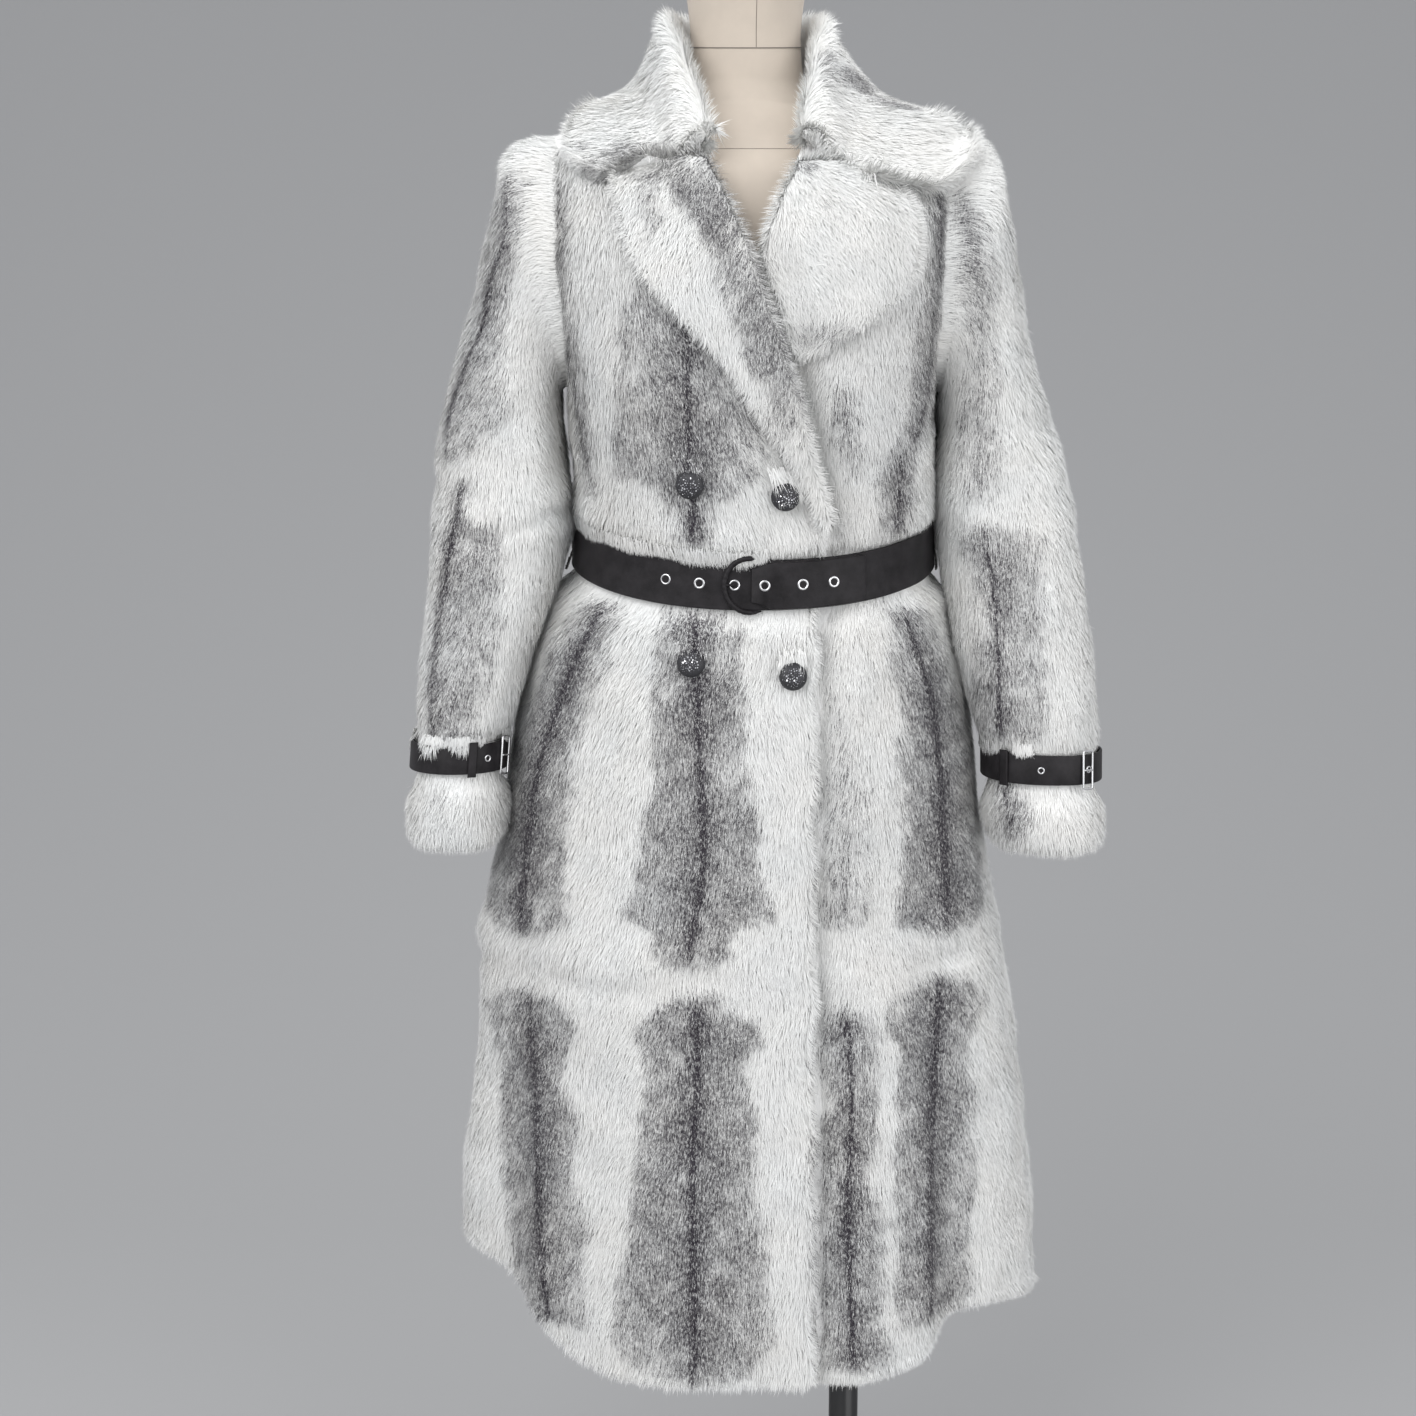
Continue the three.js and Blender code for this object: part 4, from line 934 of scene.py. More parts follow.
def hair_arrows(skin, row, column, settings, rng):
    """Roots, ways and normals of hairs that lie down along the skin."""
    count = len(row)
    normal = unit(sample(skin.normals, row, column))
    down = sample(skin.lay, row, column)
    down = unit(down - normal * (down * normal).sum(-1, keepdims=True))
    across = np.cross(normal, down)
    place = sample(skin.points, row, column)
    yaw = settings.swirl * waves(place, 45, 71) + settings.yaw * rng.normal(size=count)
    lie = down * np.cos(yaw)[:, None] + across * np.sin(yaw)[:, None]
    length = settings.length * rng.uniform(0.72, 1.2, count)
    rise = HAIR_DEPTH + settings.proud * rng.normal(size=count)
    rise += sample(skin.puff[..., None], row, column)[:, 0]
    rise += np.where(rng.random(count) < 0.04, rng.uniform(0, 3.5, count), 0)
    lifted = np.zeros(count)
    if skin.cover is not None:
        share, run = (sample(grid[..., None], row, column)[:, 0] for grid in skin.cover)
        climbs = rng.random(count) < share
        lifted = np.where(climbs, HAIR_DEPTH + rng.uniform(1.5, 3.5, count), 0)
        rise = np.where(climbs, HAIR_DEPTH + rng.uniform(8.5, 10.5, count), rise) - lifted
        run = run * rng.uniform(0.8, 1.1, count)
        length = np.where(climbs, np.hypot(run.clip(6), rise), length)
    hangs = np.zeros(count, bool)
    if skin.strap is not None:
        room, over = (sample(grid[..., None], row, column)[:, 0] for grid in skin.strap[:2])
        meets = (room > 0) & (room < length)
        over = over * rng.uniform(0.1, 1.15, count)
        hangs = meets & (over > 1.2) & (room < 10)
        length = np.where(meets, np.minimum(length, room + 2), length)
        rise = np.where(meets, HAIR_DEPTH - 1, rise)
    length = np.maximum(length, 2.5)
    rise = np.clip(rise, 0.3, 0.92 * length)
    root = place - normal * (HAIR_DEPTH - lifted)[:, None]
    arrow = lie * np.sqrt(length**2 - rise**2)[:, None] + normal * rise[:, None]
    if hangs.any():
        land, degrees, top = skin.strap[2:]
        turn = sample(skin.turns[..., None], row, column)[:, 0] + degrees * yaw * (room + over)
        above = rng.uniform(0.8, 2.4, count)
        height = top + 0.5 - 1.3 * room / over.clip(1.2)
        high = place + normal * height.clip(-0.5, None)[:, None]
        root = np.where(hangs[:, None], high, root)
        arrow = np.where(hangs[:, None], land(turn, over, above) - root, arrow)
    return place, root, arrow, normal


def fur_object(name, skin, density, count, settings, material, pattern, seed):
    """The pile: hairs in one mesh, each a slim triangle, drawn together in small tufts."""
    rng = np.random.default_rng(seed)
    rim = int(count * settings.rim_share) if skin.rims else 0
    tone, _ = pattern(skin.points, skin.normals)
    density = density * (1 + 0.9 * cell_mean(tone))
    row, column = hair_roots(skin, density, count - rim, rng)
    place, root, arrow, normal = hair_arrows(skin, row, column, settings, rng)
    tuft_row, tuft_column = hair_roots(skin, density, max(count // settings.tuft, 8), rng)
    tuft_place, tuft_root, tuft_arrow, _ = hair_arrows(skin, tuft_row, tuft_column, settings, rng)
    nearest = nearest_tufts(place, tuft_place)
    pull = rng.uniform(0, 0.32, len(root))[:, None]
    tip = root + arrow
    tip += (tuft_root[nearest] + tuft_arrow[nearest] - tip) * pull
    spread = [(place, root, tip, normal, row, column)]
    if rim:
        spread.append(rim_hairs(skin, rim, settings, rng))
    place, root, tip, normal, row, column = (
        np.concatenate(parts) for parts in zip(*spread, strict=True)
    )
    count = len(root)
    arrow = unit(tip - root)
    flat = unit(np.cross(arrow, normal))
    roll = 0.26 * rng.normal(size=(count, 1))
    side = unit(flat * np.cos(roll) + np.cross(arrow, flat) * np.sin(roll))
    seen = place + 0.6 * (tip - root)
    tone, core = pattern(seen, normal)
    half = settings.width / 2 * rng.uniform(0.75, 1.25, count) * (1 - 0.45 * tone)
    half = half[:, None]
    points = np.stack([root - side * half, root + side * half, tip], 1).reshape(-1, 3)
    made = mesh_object(name, points, np.arange(3 * count).reshape(-1, 3), material)
    shade_fur(made, tone, core, normal, arrow, settings, rng)
    rows, columns = skin.points.shape[:2]
    chart = np.stack([column / (columns - 1), 1 - row / (rows - 1)], -1)
    size = np.array([settings.width / 2, settings.length]) / skin.extent
    corners = np.stack([chart - size * (1, 0), chart + size * (1, 0), chart - size * (0, 1)], 1)
    layer = made.data.uv_layers.new(name="OFBake")
    layer.uv.foreach_set("vector", corners.clip(0, 1).astype(np.float32).ravel())
    return made


def shade_fur(made, tone, core, normal, arrow, settings, rng):
    """Soft normals, and the tone of each hair from its root to its tip."""
    count = len(tone)
    dark = rng.random(count) < tone * 0.8 + core * 0.5
    light = 0.02 * rng.random(count) + 0.34 * tone + 0.3 * core
    tip_tone = np.where(dark, rng.uniform(0.5, 0.9, count) + 0.6 * core, light)
    root_tone = np.where(dark, 0.2 + 0.2 * tone + 0.8 * core, light)
    keep_number(made, "tone", np.stack([root_tone, root_tone, tip_tone], 1))
    bent = unit(normal + settings.ruffle * rng.normal(size=(count, 3)) + 0.1 * arrow)
    bent = np.repeat(bent, 3, axis=0)
    made.data.normals_split_custom_set_from_vertices(bent.astype(np.float32))


def rim_line(skin, side):
    """Rows and columns of places along a free edge, and the way out from each."""
    last_row, last_column = (size - 1.001 for size in skin.points.shape[:2])
    if side in ("top", "bottom"):
        rows = np.full(200, last_row if side == "bottom" else 0.0)
        columns = np.linspace(0, last_column, 200)
        down = sample(skin.down, rows, columns)
        return rows, columns, down if side == "bottom" else -down
    rows = np.linspace(0, last_row, 400)
    columns = np.full(400, 0.0 if side == "start" else last_column)
    away = np.cross(sample(skin.normals, rows, columns), sample(skin.down, rows, columns))
    outward = sample(skin.points, rows, columns)
    outward -= sample(skin.points, rows, np.full(400, last_column / 2))
    return rows, columns, away * np.sign((outward * away).sum(-1, keepdims=True))


def rim_hairs(skin, count, settings, rng):
    """Hairs along the free edges, fanned from the face round to the lining."""
    lines = [rim_line(skin, side) for side in skin.rims]
    lengths = [
        np.linalg.norm(np.diff(sample(skin.points, rows, columns), axis=0), axis=-1).sum()
        for rows, columns, _ in lines
    ]
    parts = []
    for (rows, columns, away), length in zip(lines, lengths, strict=True):
        some = int(count * length / sum(lengths))
        at = rng.random(some) * (len(rows) - 1)
        row, column = (np.interp(at, np.arange(len(line)), line) for line in (rows, columns))
        k = at.astype(int)
        w = (at - k)[:, None]
        out = unit(away[k] * (1 - w) + away[k + 1] * w)
        normal = unit(sample(skin.normals, row, column))
        lay = unit(sample(skin.lay, row, column))
        place = sample(skin.points, row, column)
        fan = rng.uniform(-0.1, 0.95, some)[:, None] * np.pi
        spread = out * np.sin(fan).clip(0.2) + normal * np.cos(fan) * 0.8
        lie = unit(lay * settings.rim_lay + spread + 0.12 * rng.normal(size=(some, 3)))
        reach = settings.rim_length * rng.uniform(0.7, 1.15, (some, 1))
        root = place - normal * (HAIR_DEPTH + rng.uniform(-1, 1.5, (some, 1)))
        facing = unit(normal * np.cos(fan * 0.6) + out * np.sin(fan * 0.6))
        parts.append((place, root, root + lie * reach, facing, row, column))
    return tuple(np.concatenate(part) for part in zip(*parts, strict=True))


def new_material(name):
    material = bpy.data.materials.new(name)
    material.use_nodes = True
    tree = material.node_tree
    return material, tree, tree.nodes["Principled BSDF"]


def node(tree, kind, **values):
    made = tree.nodes.new(kind)
    for name, value in values.items():
        if hasattr(made, name):
            setattr(made, name, value)
        else:
            made.inputs[name.replace("_", " ").title()].default_value = value
    return made


def ramp(tree, *stops):
    made = tree.nodes.new("ShaderNodeValToRGB")
    elements = made.color_ramp.elements
    while len(elements) < len(stops):
        elements.new(0.5)
    for element, (position, colour) in zip(elements, stops, strict=True):
        element.position = position
        element.color = (*colour, 1)
    return made


def bump(tree, shader, height, strength, distance):
    made = tree.nodes.new("ShaderNodeBump")
    made.inputs["Strength"].default_value = strength
    made.inputs["Distance"].default_value = distance
    tree.links.new(height, made.inputs["Height"])
    tree.links.new(made.outputs["Normal"], shader.inputs["Normal"])


def noise(tree, scale, detail=4.0, roughness=0.6, stretch=None):
    place = tree.nodes.new("ShaderNodeTexCoord")
    made = node(tree, "ShaderNodeTexNoise", Scale=scale, Detail=detail, Roughness=roughness)
    if stretch:
        mapping = tree.nodes.new("ShaderNodeMapping")
        mapping.inputs["Scale"].default_value = stretch
        tree.links.new(place.outputs["Object"], mapping.inputs["Vector"])
        tree.links.new(mapping.outputs["Vector"], made.inputs["Vector"])
    else:
        tree.links.new(place.outputs["Object"], made.inputs["Vector"])
    return made


def fur_material(name, white, dark):
    """Hair: its own tone, from white through grey to nearly black, with a faint warm and cool."""
    material, tree, shader = new_material(name)
    tone = node(tree, "ShaderNodeAttribute", attribute_name="tone")
    grey = [0.22 * w + 0.78 * d for w, d in zip(white, dark, strict=True)]
    pale = [0.72 * w + 0.28 * d for w, d in zip(white, dark, strict=True)]
    colours = ramp(tree, (0.0, white), (0.2, pale), (0.5, grey), (0.9, dark))
    ticks = noise(tree, 620, 2, 0.7, (1, 1, 0.38))
    spread = node(tree, "ShaderNodeMapRange")
    for name, value in (("From Min", 0.36), ("From Max", 0.64), ("To Min", 0.1), ("To Max", 1.7)):
        spread.inputs[name].default_value = value
    tree.links.new(ticks.outputs["Fac"], spread.inputs["Value"])
    speckle = node(tree, "ShaderNodeMath", operation="MULTIPLY")
    tree.links.new(tone.outputs["Fac"], speckle.inputs[0])
    tree.links.new(spread.outputs["Result"], speckle.inputs[1])
    tree.links.new(speckle.outputs["Value"], colours.inputs["Fac"])
    blotch = noise(tree, 14, 3)
    tint = ramp(tree, (0.3, (1.0, 0.995, 0.98)), (0.7, (0.975, 0.985, 0.985)))
    tree.links.new(blotch.outputs["Fac"], tint.inputs["Fac"])
    mix = node(tree, "ShaderNodeMix", data_type="RGBA", blend_type="MULTIPLY")
    mix.inputs["Factor"].default_value = 1.0
    tree.links.new(colours.outputs["Color"], mix.inputs["A"])
    tree.links.new(tint.outputs["Color"], mix.inputs["B"])
    tree.links.new(mix.outputs["Result"], shader.inputs["Base Color"])
    shader.inputs["Roughness"].default_value = 0.62
    shader.inputs["Specular IOR Level"].default_value = 0.25
    shader.inputs["Sheen Weight"].default_value = 0.25
    shader.inputs["Sheen Roughness"].default_value = 0.5
    return material


def skin_material(white):
    """The skins under the hair, which take its tone, and the pale lining behind them."""
    material, tree, shader = new_material("Skin")
    tone = node(tree, "ShaderNodeAttribute", attribute_name="tone")
    grain = noise(tree, 260, 5, 0.7)
    add = node(tree, "ShaderNodeMath", operation="MULTIPLY_ADD")
    tree.links.new(grain.outputs["Fac"], add.inputs[0])
    add.inputs[1].default_value = 0.22
    tree.links.new(tone.outputs["Fac"], add.inputs[2])
    shade = [0.5 * c for c in white]
    colours = ramp(tree, (0.0, white), (0.25, white), (0.5, shade), (0.95, (0.12, 0.115, 0.12)))
    tree.links.new(add.outputs["Value"], colours.inputs["Fac"])
    tree.links.new(colours.outputs["Color"], shader.inputs["Base Color"])
    shader.inputs["Roughness"].default_value = 0.85
    bump(tree, shader, grain.outputs["Fac"], 0.4, 0.001)
    return material


def leather_material(name, colour, gloss=0.42):
    """Fine grained leather with soft scuffs."""
    material, tree, shader = new_material(name)
    scuff = noise(tree, 60, 6, 0.65)
    colours = ramp(tree, (0.35, colour), (0.7, [2.1 * c + 0.006 for c in colour]))
    tree.links.new(scuff.outputs["Fac"], colours.inputs["Fac"])
    tree.links.new(colours.outputs["Color"], shader.inputs["Base Color"])
    place = tree.nodes.new("ShaderNodeTexCoord")
    grain = node(tree, "ShaderNodeTexVoronoi", feature="DISTANCE_TO_EDGE", Scale=900.0)
    tree.links.new(place.outputs["Object"], grain.inputs["Vector"])
    bump(tree, shader, grain.outputs["Distance"], 0.25, 0.0006)
    rough = node(tree, "ShaderNodeMapRange")
    rough.inputs["To Min"].default_value = gloss - 0.06
    rough.inputs["To Max"].default_value = gloss + 0.12
    tree.links.new(scuff.outputs["Fac"], rough.inputs["Value"])
    tree.links.new(rough.outputs["Result"], shader.inputs["Roughness"])
    shader.inputs["Specular IOR Level"].default_value = 0.2
    return material


def metal_material(name, colour, roughness):
    material, tree, shader = new_material(name)
    wear = noise(tree, 180, 5)
    colours = ramp(tree, (0.3, [0.82 * c for c in colour]), (0.6, colour))
    tree.links.new(wear.outputs["Fac"], colours.inputs["Fac"])
    tree.links.new(colours.outputs["Color"], shader.inputs["Base Color"])
    shader.inputs["Metallic"].default_value = 1.0
    shader.inputs["Roughness"].default_value = roughness
    bump(tree, shader, wear.outputs["Fac"], 0.05, 0.0003)
    return material


def jersey_material(name, colour):
    """Knitted cotton of the form's cover: fine ribs, slightly mottled."""
    material, tree, shader = new_material(name)
    place = tree.nodes.new("ShaderNodeTexCoord")
    rib = node(tree, "ShaderNodeTexWave", bands_direction="Z", Scale=620.0, Distortion=1.2, Detail=2.0)
    tree.links.new(place.outputs["Object"], rib.inputs["Vector"])
    mottle = noise(tree, 22, 5)
    colours = ramp(tree, (0.3, [0.93 * c for c in colour]), (0.7, [min(1.04 * c, 1) for c in colour]))
    tree.links.new(mottle.outputs["Fac"], colours.inputs["Fac"])
    tree.links.new(colours.outputs["Color"], shader.inputs["Base Color"])
    shader.inputs["Roughness"].default_value = 0.82
    shader.inputs["Sheen Weight"].default_value = 0.2
    bump(tree, shader, rib.outputs["Fac"], 0.12, 0.0004)
    return material


def thread_material(name, colour):
    material, tree, shader = new_material(name)
    twist = noise(tree, 900, 3, 0.5, (1, 1, 0.35))
    colours = ramp(tree, (0.3, [0.6 * c for c in colour]), (0.7, colour))
    tree.links.new(twist.outputs["Fac"], colours.inputs["Fac"])
    tree.links.new(colours.outputs["Color"], shader.inputs["Base Color"])
    shader.inputs["Roughness"].default_value = 0.8
    bump(tree, shader, twist.outputs["Fac"], 0.5, 0.0004)
    return material


def paint_material(name, colour, roughness):
    material, tree, shader = new_material(name)
    orange_peel = noise(tree, 160, 3)
    dust = noise(tree, 9, 6, 0.7)
    colours = ramp(tree, (0.4, colour), (0.8, [1.5 * c + 0.004 for c in colour]))
    tree.links.new(dust.outputs["Fac"], colours.inputs["Fac"])
    tree.links.new(colours.outputs["Color"], shader.inputs["Base Color"])
    shader.inputs["Roughness"].default_value = roughness
    bump(tree, shader, orange_peel.outputs["Fac"], 0.04, 0.0005)
    return material


def floor_material(name, colour):
    """Plain matt paper."""
    material, tree, shader = new_material(name)
    fibre = noise(tree, 300, 2)
    colours = ramp(tree, (0.0, [0.995 * c for c in colour]), (1.0, colour))
    tree.links.new(fibre.outputs["Fac"], colours.inputs["Fac"])
    tree.links.new(colours.outputs["Color"], shader.inputs["Base Color"])
    shader.inputs["Roughness"].default_value = 0.9
    shader.inputs["Specular IOR Level"].default_value = 0.1
    return material


def length_setting(name, description, default):
    return FloatProperty(name=name, description=description, default=default, unit="LENGTH")


def colour_setting(name, description, *default):
    return FloatVectorProperty(
        name=name, description=description, subtype="COLOR", default=default
    )


class CoatSettings(bpy.types.PropertyGroup):
    """The fur's sizes and colours."""

    hair_length: length_setting("Hair length", "Length of the pile", 0.0165)
    hair_width: length_setting("Hair width", "Width of a hair at its root", 0.0013)
    hairs: IntProperty(
        name="Hairs", description="Number of hairs on the whole coat", default=865000, min=10000
    )
    white: colour_setting("White", "Colour of the white hair", 0.92, 0.92, 0.91)
    dark: colour_setting("Dark", "Colour of the darkest hair", 0.045, 0.038, 0.05)


class TrimSettings(bpy.types.PropertyGroup):
    """Colours of the leather, metal and thread."""

    leather: colour_setting("Leather", "Colour of belt and straps", 0.008, 0.007, 0.008)
    silver: colour_setting("Silver", "Colour of eyelets and buckles", 0.72, 0.72, 0.73)
    thread: colour_setting("Thread", "Colour of the belt loops", 0.46, 0.45, 0.43)


class StandSettings(bpy.types.PropertyGroup):
    """Colours of the dress form, its stand and the floor."""

    jersey: colour_setting("Jersey", "Colour of the form's cover", 0.52, 0.455, 0.385)
    paint: colour_setting("Paint", "Colour of post and base", 0.01, 0.01, 0.011)
    floor: colour_setting("Floor", "Colour of floor and backdrop", 0.40, 0.402, 0.405)


def hair_settings(**changes):
    coat = bpy.context.scene.fur_coat
    values = {
        "length": coat.hair_length * 1000,
        "width": coat.hair_width * 1000,
        "swirl": 0.16,
        "yaw": 0.2,
        "proud": 0.6,
        "ruffle": 0.065,
        "tuft": 12,
        "rim_share": 0.08,
        "rim_length": 13,
        "rim_lay": 0.8,
    }
    return SimpleNamespace(**{**values, **changes})


def coat_materials():
    coat = bpy.context.scene.fur_coat
    fur = bpy.data.materials.get("Fur") or fur_material("Fur", list(coat.white), list(coat.dark))
    skin = bpy.data.materials.get("Skin") or skin_material(list(coat.white))
    return fur, skin


def dress(name, skin, shown, density, share, settings, pattern, seed):
    """One piece of the coat: its thin skin, which stands for the solid, and the pile on it."""
    fur, leather = coat_materials()
    count = int(bpy.context.scene.fur_coat.hairs * share)
    shell = shell_object(f"{name}_skin", skin, shown, HAIR_DEPTH, 1.4, leather, pattern)
    pile = fur_object(f"{name}_fur", skin, density, count, settings, fur, pattern, seed)
    finish_piece(shell, "fur", name)
    finish_piece(pile, "fur")


def cell_mean(grid):
    return (grid[1:, 1:] + grid[:-1, 1:] + grid[1:, :-1] + grid[:-1, :-1]) / 4


def all_cells(skin):
    return np.ones((skin.points.shape[0] - 1, skin.points.shape[1] - 1), bool)


def prepare(skin, rims, lay=None, puff=None, strap=None, cover=None, shell_step=(2, 2)):
    """Sets what the pile needs to know: its free edges, its lie, and the straps that it meets."""
    skin.rims = rims
    skin.strap = strap
    skin.cover = cover
    skin.lay = skin.down if lay is None else lay
    skin.puff = np.zeros(skin.points.shape[:2]) if puff is None else puff
    skin.shell_step = shell_step
    wide = np.linalg.norm(np.diff(skin.points, axis=1), axis=-1).sum(1).mean()
    high = np.linalg.norm(np.diff(skin.points, axis=0), axis=-1).sum(0).mean()
    skin.extent = np.array([wide, high])
    return skin


def through_armhole(points):
    """Which points lie inside the sleeve heads, where the body is open."""
    x, y, z = points[..., 0], points[..., 1], points[..., 2]
    round_it = np.abs((z - 1304) / 94) ** 2.2 + np.abs(y / 66) ** 2.2
    return (round_it < 1) & (np.abs(x) > 150)


def belt_gap(levels):
    """1 where hair stands free, and 0 under the belt."""
    return 1 - ((levels > 1028) & (levels < 1068))


def on_belt(turn, over, above):
    """Points on the belt's face, measured down from its upper edge."""
    level = WAIST_LEVEL + BELT_WIDTH / 2 - over
    return coat_point(turn, level, BELT_FLOOR + BELT_LEATHER + above)


def belt_meeting(skin):
    """Room above the belt, how far hair hangs over its upper edge, and where that hair ends."""
    room = skin.levels - (WAIST_LEVEL + BELT_WIDTH / 2)
    x = skin.points[..., 0]
    ahead = skin.normals[..., 1] < 0.2
    full = 1 - smooth((x - 4) / 14) * ahead
    tufts = 0.8 + 0.6 * waves(skin.points * (1, 1, 0), 17, 72)
    most = 7.5 + 5 * np.exp(-(((x + 8) / 24) ** 2))
    return room, (most * full * tufts).clip(0.5, 15), on_belt, 0.4, BELT_FLOOR + BELT_LEATHER


# Share of the hair above each button that falls over it, and where it ends above the middle
BUTTON_COVER = ((0.3, 5), (1.0, -13), (0.4, 4), (0.9, -5))


def button_cover(skin):
    """The share of hair that climbs onto a button below it, and how far it reaches."""
    x, z = skin.points[..., 0], skin.points[..., 2]
    total, run = np.zeros_like(x), np.zeros_like(x)
    for at, level, (share, end) in zip(BUTTONS["x"], BUTTONS["level"], BUTTON_COVER, strict=True):
        above = z - coat_face(turn_at(at, level), level)[2]
        here = (np.abs(x - at) < 12) & (above > 10.5) & (above < 23) & (skin.normals[..., 1] < 0)
        total += share * here
        run += (above - end) * here
    return total, run


def dress_body(skin, name, share, rims, hidden, flat, area, seed, valley=0, **changes):
    levels = skin.levels
    below = -3.0 * np.exp(-(((levels - 1022) / 9) ** 2)) - valley
    prepare(skin, rims, puff=below, strap=belt_meeting(skin), cover=button_cover(skin))
    shown = cell_mean(through_armhole(skin.points) * 1.0) < 0.5
    density = shown * belt_gap(cell_mean(levels)) * (1 - 0.97 * hidden)
    density *= 1 + 1.6 * np.exp(-(((cell_mean(levels) - 1071) / 5) ** 2))
    density *= 1 + 2 * cell_mean(skin.cover[0])
    for at, level in zip(BUTTONS["x"], BUTTONS["level"], strict=True):
        middle = coat_face(turn_at(at, level), level)
        away = np.linalg.norm(skin.points - middle, axis=-1)
        density *= 1 - (cell_mean((away < 8) * 1.0) > 0.4)
    settings = hair_settings(**changes)
    dress(name, skin, shown, density, share, settings, body_pattern, seed)


class COAT_OT_body(bpy.types.Operator):
    """Make the back and the two fronts."""

    bl_idname = "coat.body"
    bl_label = "Body"

    def execute(self, context):
        back = back_skin()
        hidden = cell_mean((back.points[..., 2] > 1418) * 1.0)
        dress_body(back, "back", 0.215, ["bottom"], hidden, (0.86, 1.12), 0.79, 1, width=1.7)
        over = front_right_skin()
        x = over.points[..., 0]
        lapel_edge = read(LAPEL_OVER, over.levels, "edge")
        under_lapel = (over.levels > 1100) & (x > lapel_edge + 14)
        under_collar = over.levels > 1404
        hidden = cell_mean((under_lapel | under_collar) * 1.0)
        dress_body(over, "front_right", 0.215, ["bottom", "end"], hidden, (0.55, 1.1), 0.42, 2)
        under = front_left_skin()
        x = under.points[..., 0]
        covered = x < read(OVER_EDGE, under.levels, "x") - 4
        lapel_edge = read(LAPEL_UNDER, under.levels, "edge")
        under_lapel = (under.levels > 1230) & (x < lapel_edge - 14)
        hidden = cell_mean((covered | under_lapel | (under.levels > 1404)) * 1.0)
        beside = under.points[..., 0] - read(OVER_EDGE, under.levels, "x")
        valley = 3.6 * np.exp(-(((beside - 3) / 7) ** 2))
        dress_body(under, "front_left", 0.19, ["bottom"], hidden, (0.48, 1.1), 0.33, 3, valley)
        return {"FINISHED"}


class COAT_OT_sleeves(bpy.types.Operator):
    """Make both sleeves with their cuffs."""

    bl_idname = "coat.sleeves"
    bl_label = "Sleeves"

    def execute(self, context):
        for name, sheet, side, seed in (
            ("sleeve_right", SLEEVE_RIGHT, -1, 4),
            ("sleeve_left", SLEEVE_LEFT, 1, 5),
        ):
            skin = sleeve_skin(sheet, side)
            rows = skin.levels
            below = np.exp(-(((rows - 11.1) / 0.3) ** 2))
            room = (STRAP_ROWS[0] - rows) * 28
            tufts = 0.65 + 0.75 * waves(skin.points * (1, 1, 0), 14, 73 + seed)
            inside = smooth((60 - np.abs(np.abs(skin.points[..., 0]) - 205)) / 30)
            hang = 11 if side < 0 else 8 * inside
            hang = (hang * tufts).clip(0.5, 17)

            def on_strap(turn, over, above, sheet=sheet, side=side):
                row = STRAP_ROWS[0] + over / 28
                return sleeve_face(sheet, side, row, turn, SEAM + CUFF_LEATHER + above)

            strap = room, hang, on_strap, side * 1.1, SEAM + CUFF_LEATHER
            prepare(skin, ["bottom"], puff=-2.5 * below, strap=strap)
            shown = all_cells(skin)
            middle = cell_mean(rows)
            density = 1.0 * ~((middle > 10.1) & (middle < 10.95))
            density *= 1 + 1.2 * np.exp(-(((middle - 9.84) / 0.2) ** 2))
            settings = hair_settings(swirl=0.14, rim_share=0.05)
            dress(
                name, skin, shown, density, 0.135, settings, sleeve_pattern(side), seed,
            )
        return {"FINISHED"}


class COAT_OT_collar(bpy.types.Operator):
    """Make the collar and both lapels."""

    bl_idname = "coat.collar"
    bl_label = "Collar and Lapels"

    def execute(self, context):
        skin = collar_skin()
        prepare(skin, ["bottom", "start", "end"])
        shown = all_cells(skin)
        pattern = patch_pattern(COLLAR_PATCHES)
        settings = hair_settings(
            rim_share=0.22, rim_lay=0.3, rim_length=14, yaw=0.3, length=15, width=1.25
        )
        dress(
            "collar", skin, shown, shown * 1.0, 0.062, settings, pattern, 6,
        )
        over = patch_pattern(LAPEL_OVER_PATCHES, (LAPEL_OVER, 0.6))
        under = patch_pattern(LAPEL_UNDER_PATCHES)
        for name, sheet, side, lift, pattern, seed, flat, area in (
            ("lapel_right", LAPEL_OVER, -1, lambda t, v: 0, over, 7, (0.11, 0.31), 0.02),
            ("lapel_left", LAPEL_UNDER, 1, under_lift, under, 8, (0.14, 0.17), 0.016),
        ):
            skin = lapel_skin(sheet, side, lift)
            outward = unit(skin.down + np.array([side * 0.55, 0, 0]))
            prepare(skin, ["bottom", "top", "start", "end"], lay=outward)
            shown = all_cells(skin)
            settings = hair_settings(rim_share=0.3, rim_lay=0.5, yaw=0.28, width=1.25)
            dress(
                name, skin, shown, shown * 1.0, 0.016, settings, pattern, seed,
            )
        return {"FINISHED"}


def rounded_band(levels, floor, top, rounding=0.9):
    """The levels and lifts round a band's section, its corners rounded."""
    low, high = levels
    section = []
    for corner_level, corner_lift, begin in (
        (low + rounding, top - rounding, 180),
        (high - rounding, top - rounding, 90),
        (high - rounding, floor + rounding, 0),
        (low + rounding, floor + rounding, -90),
    ):
        for degrees in np.linspace(begin, begin - 90, 4):
            angle = math.radians(degrees)
            section.append(
                (corner_level + rounding * math.cos(angle), corner_lift + rounding * math.sin(angle))
            )
    return section


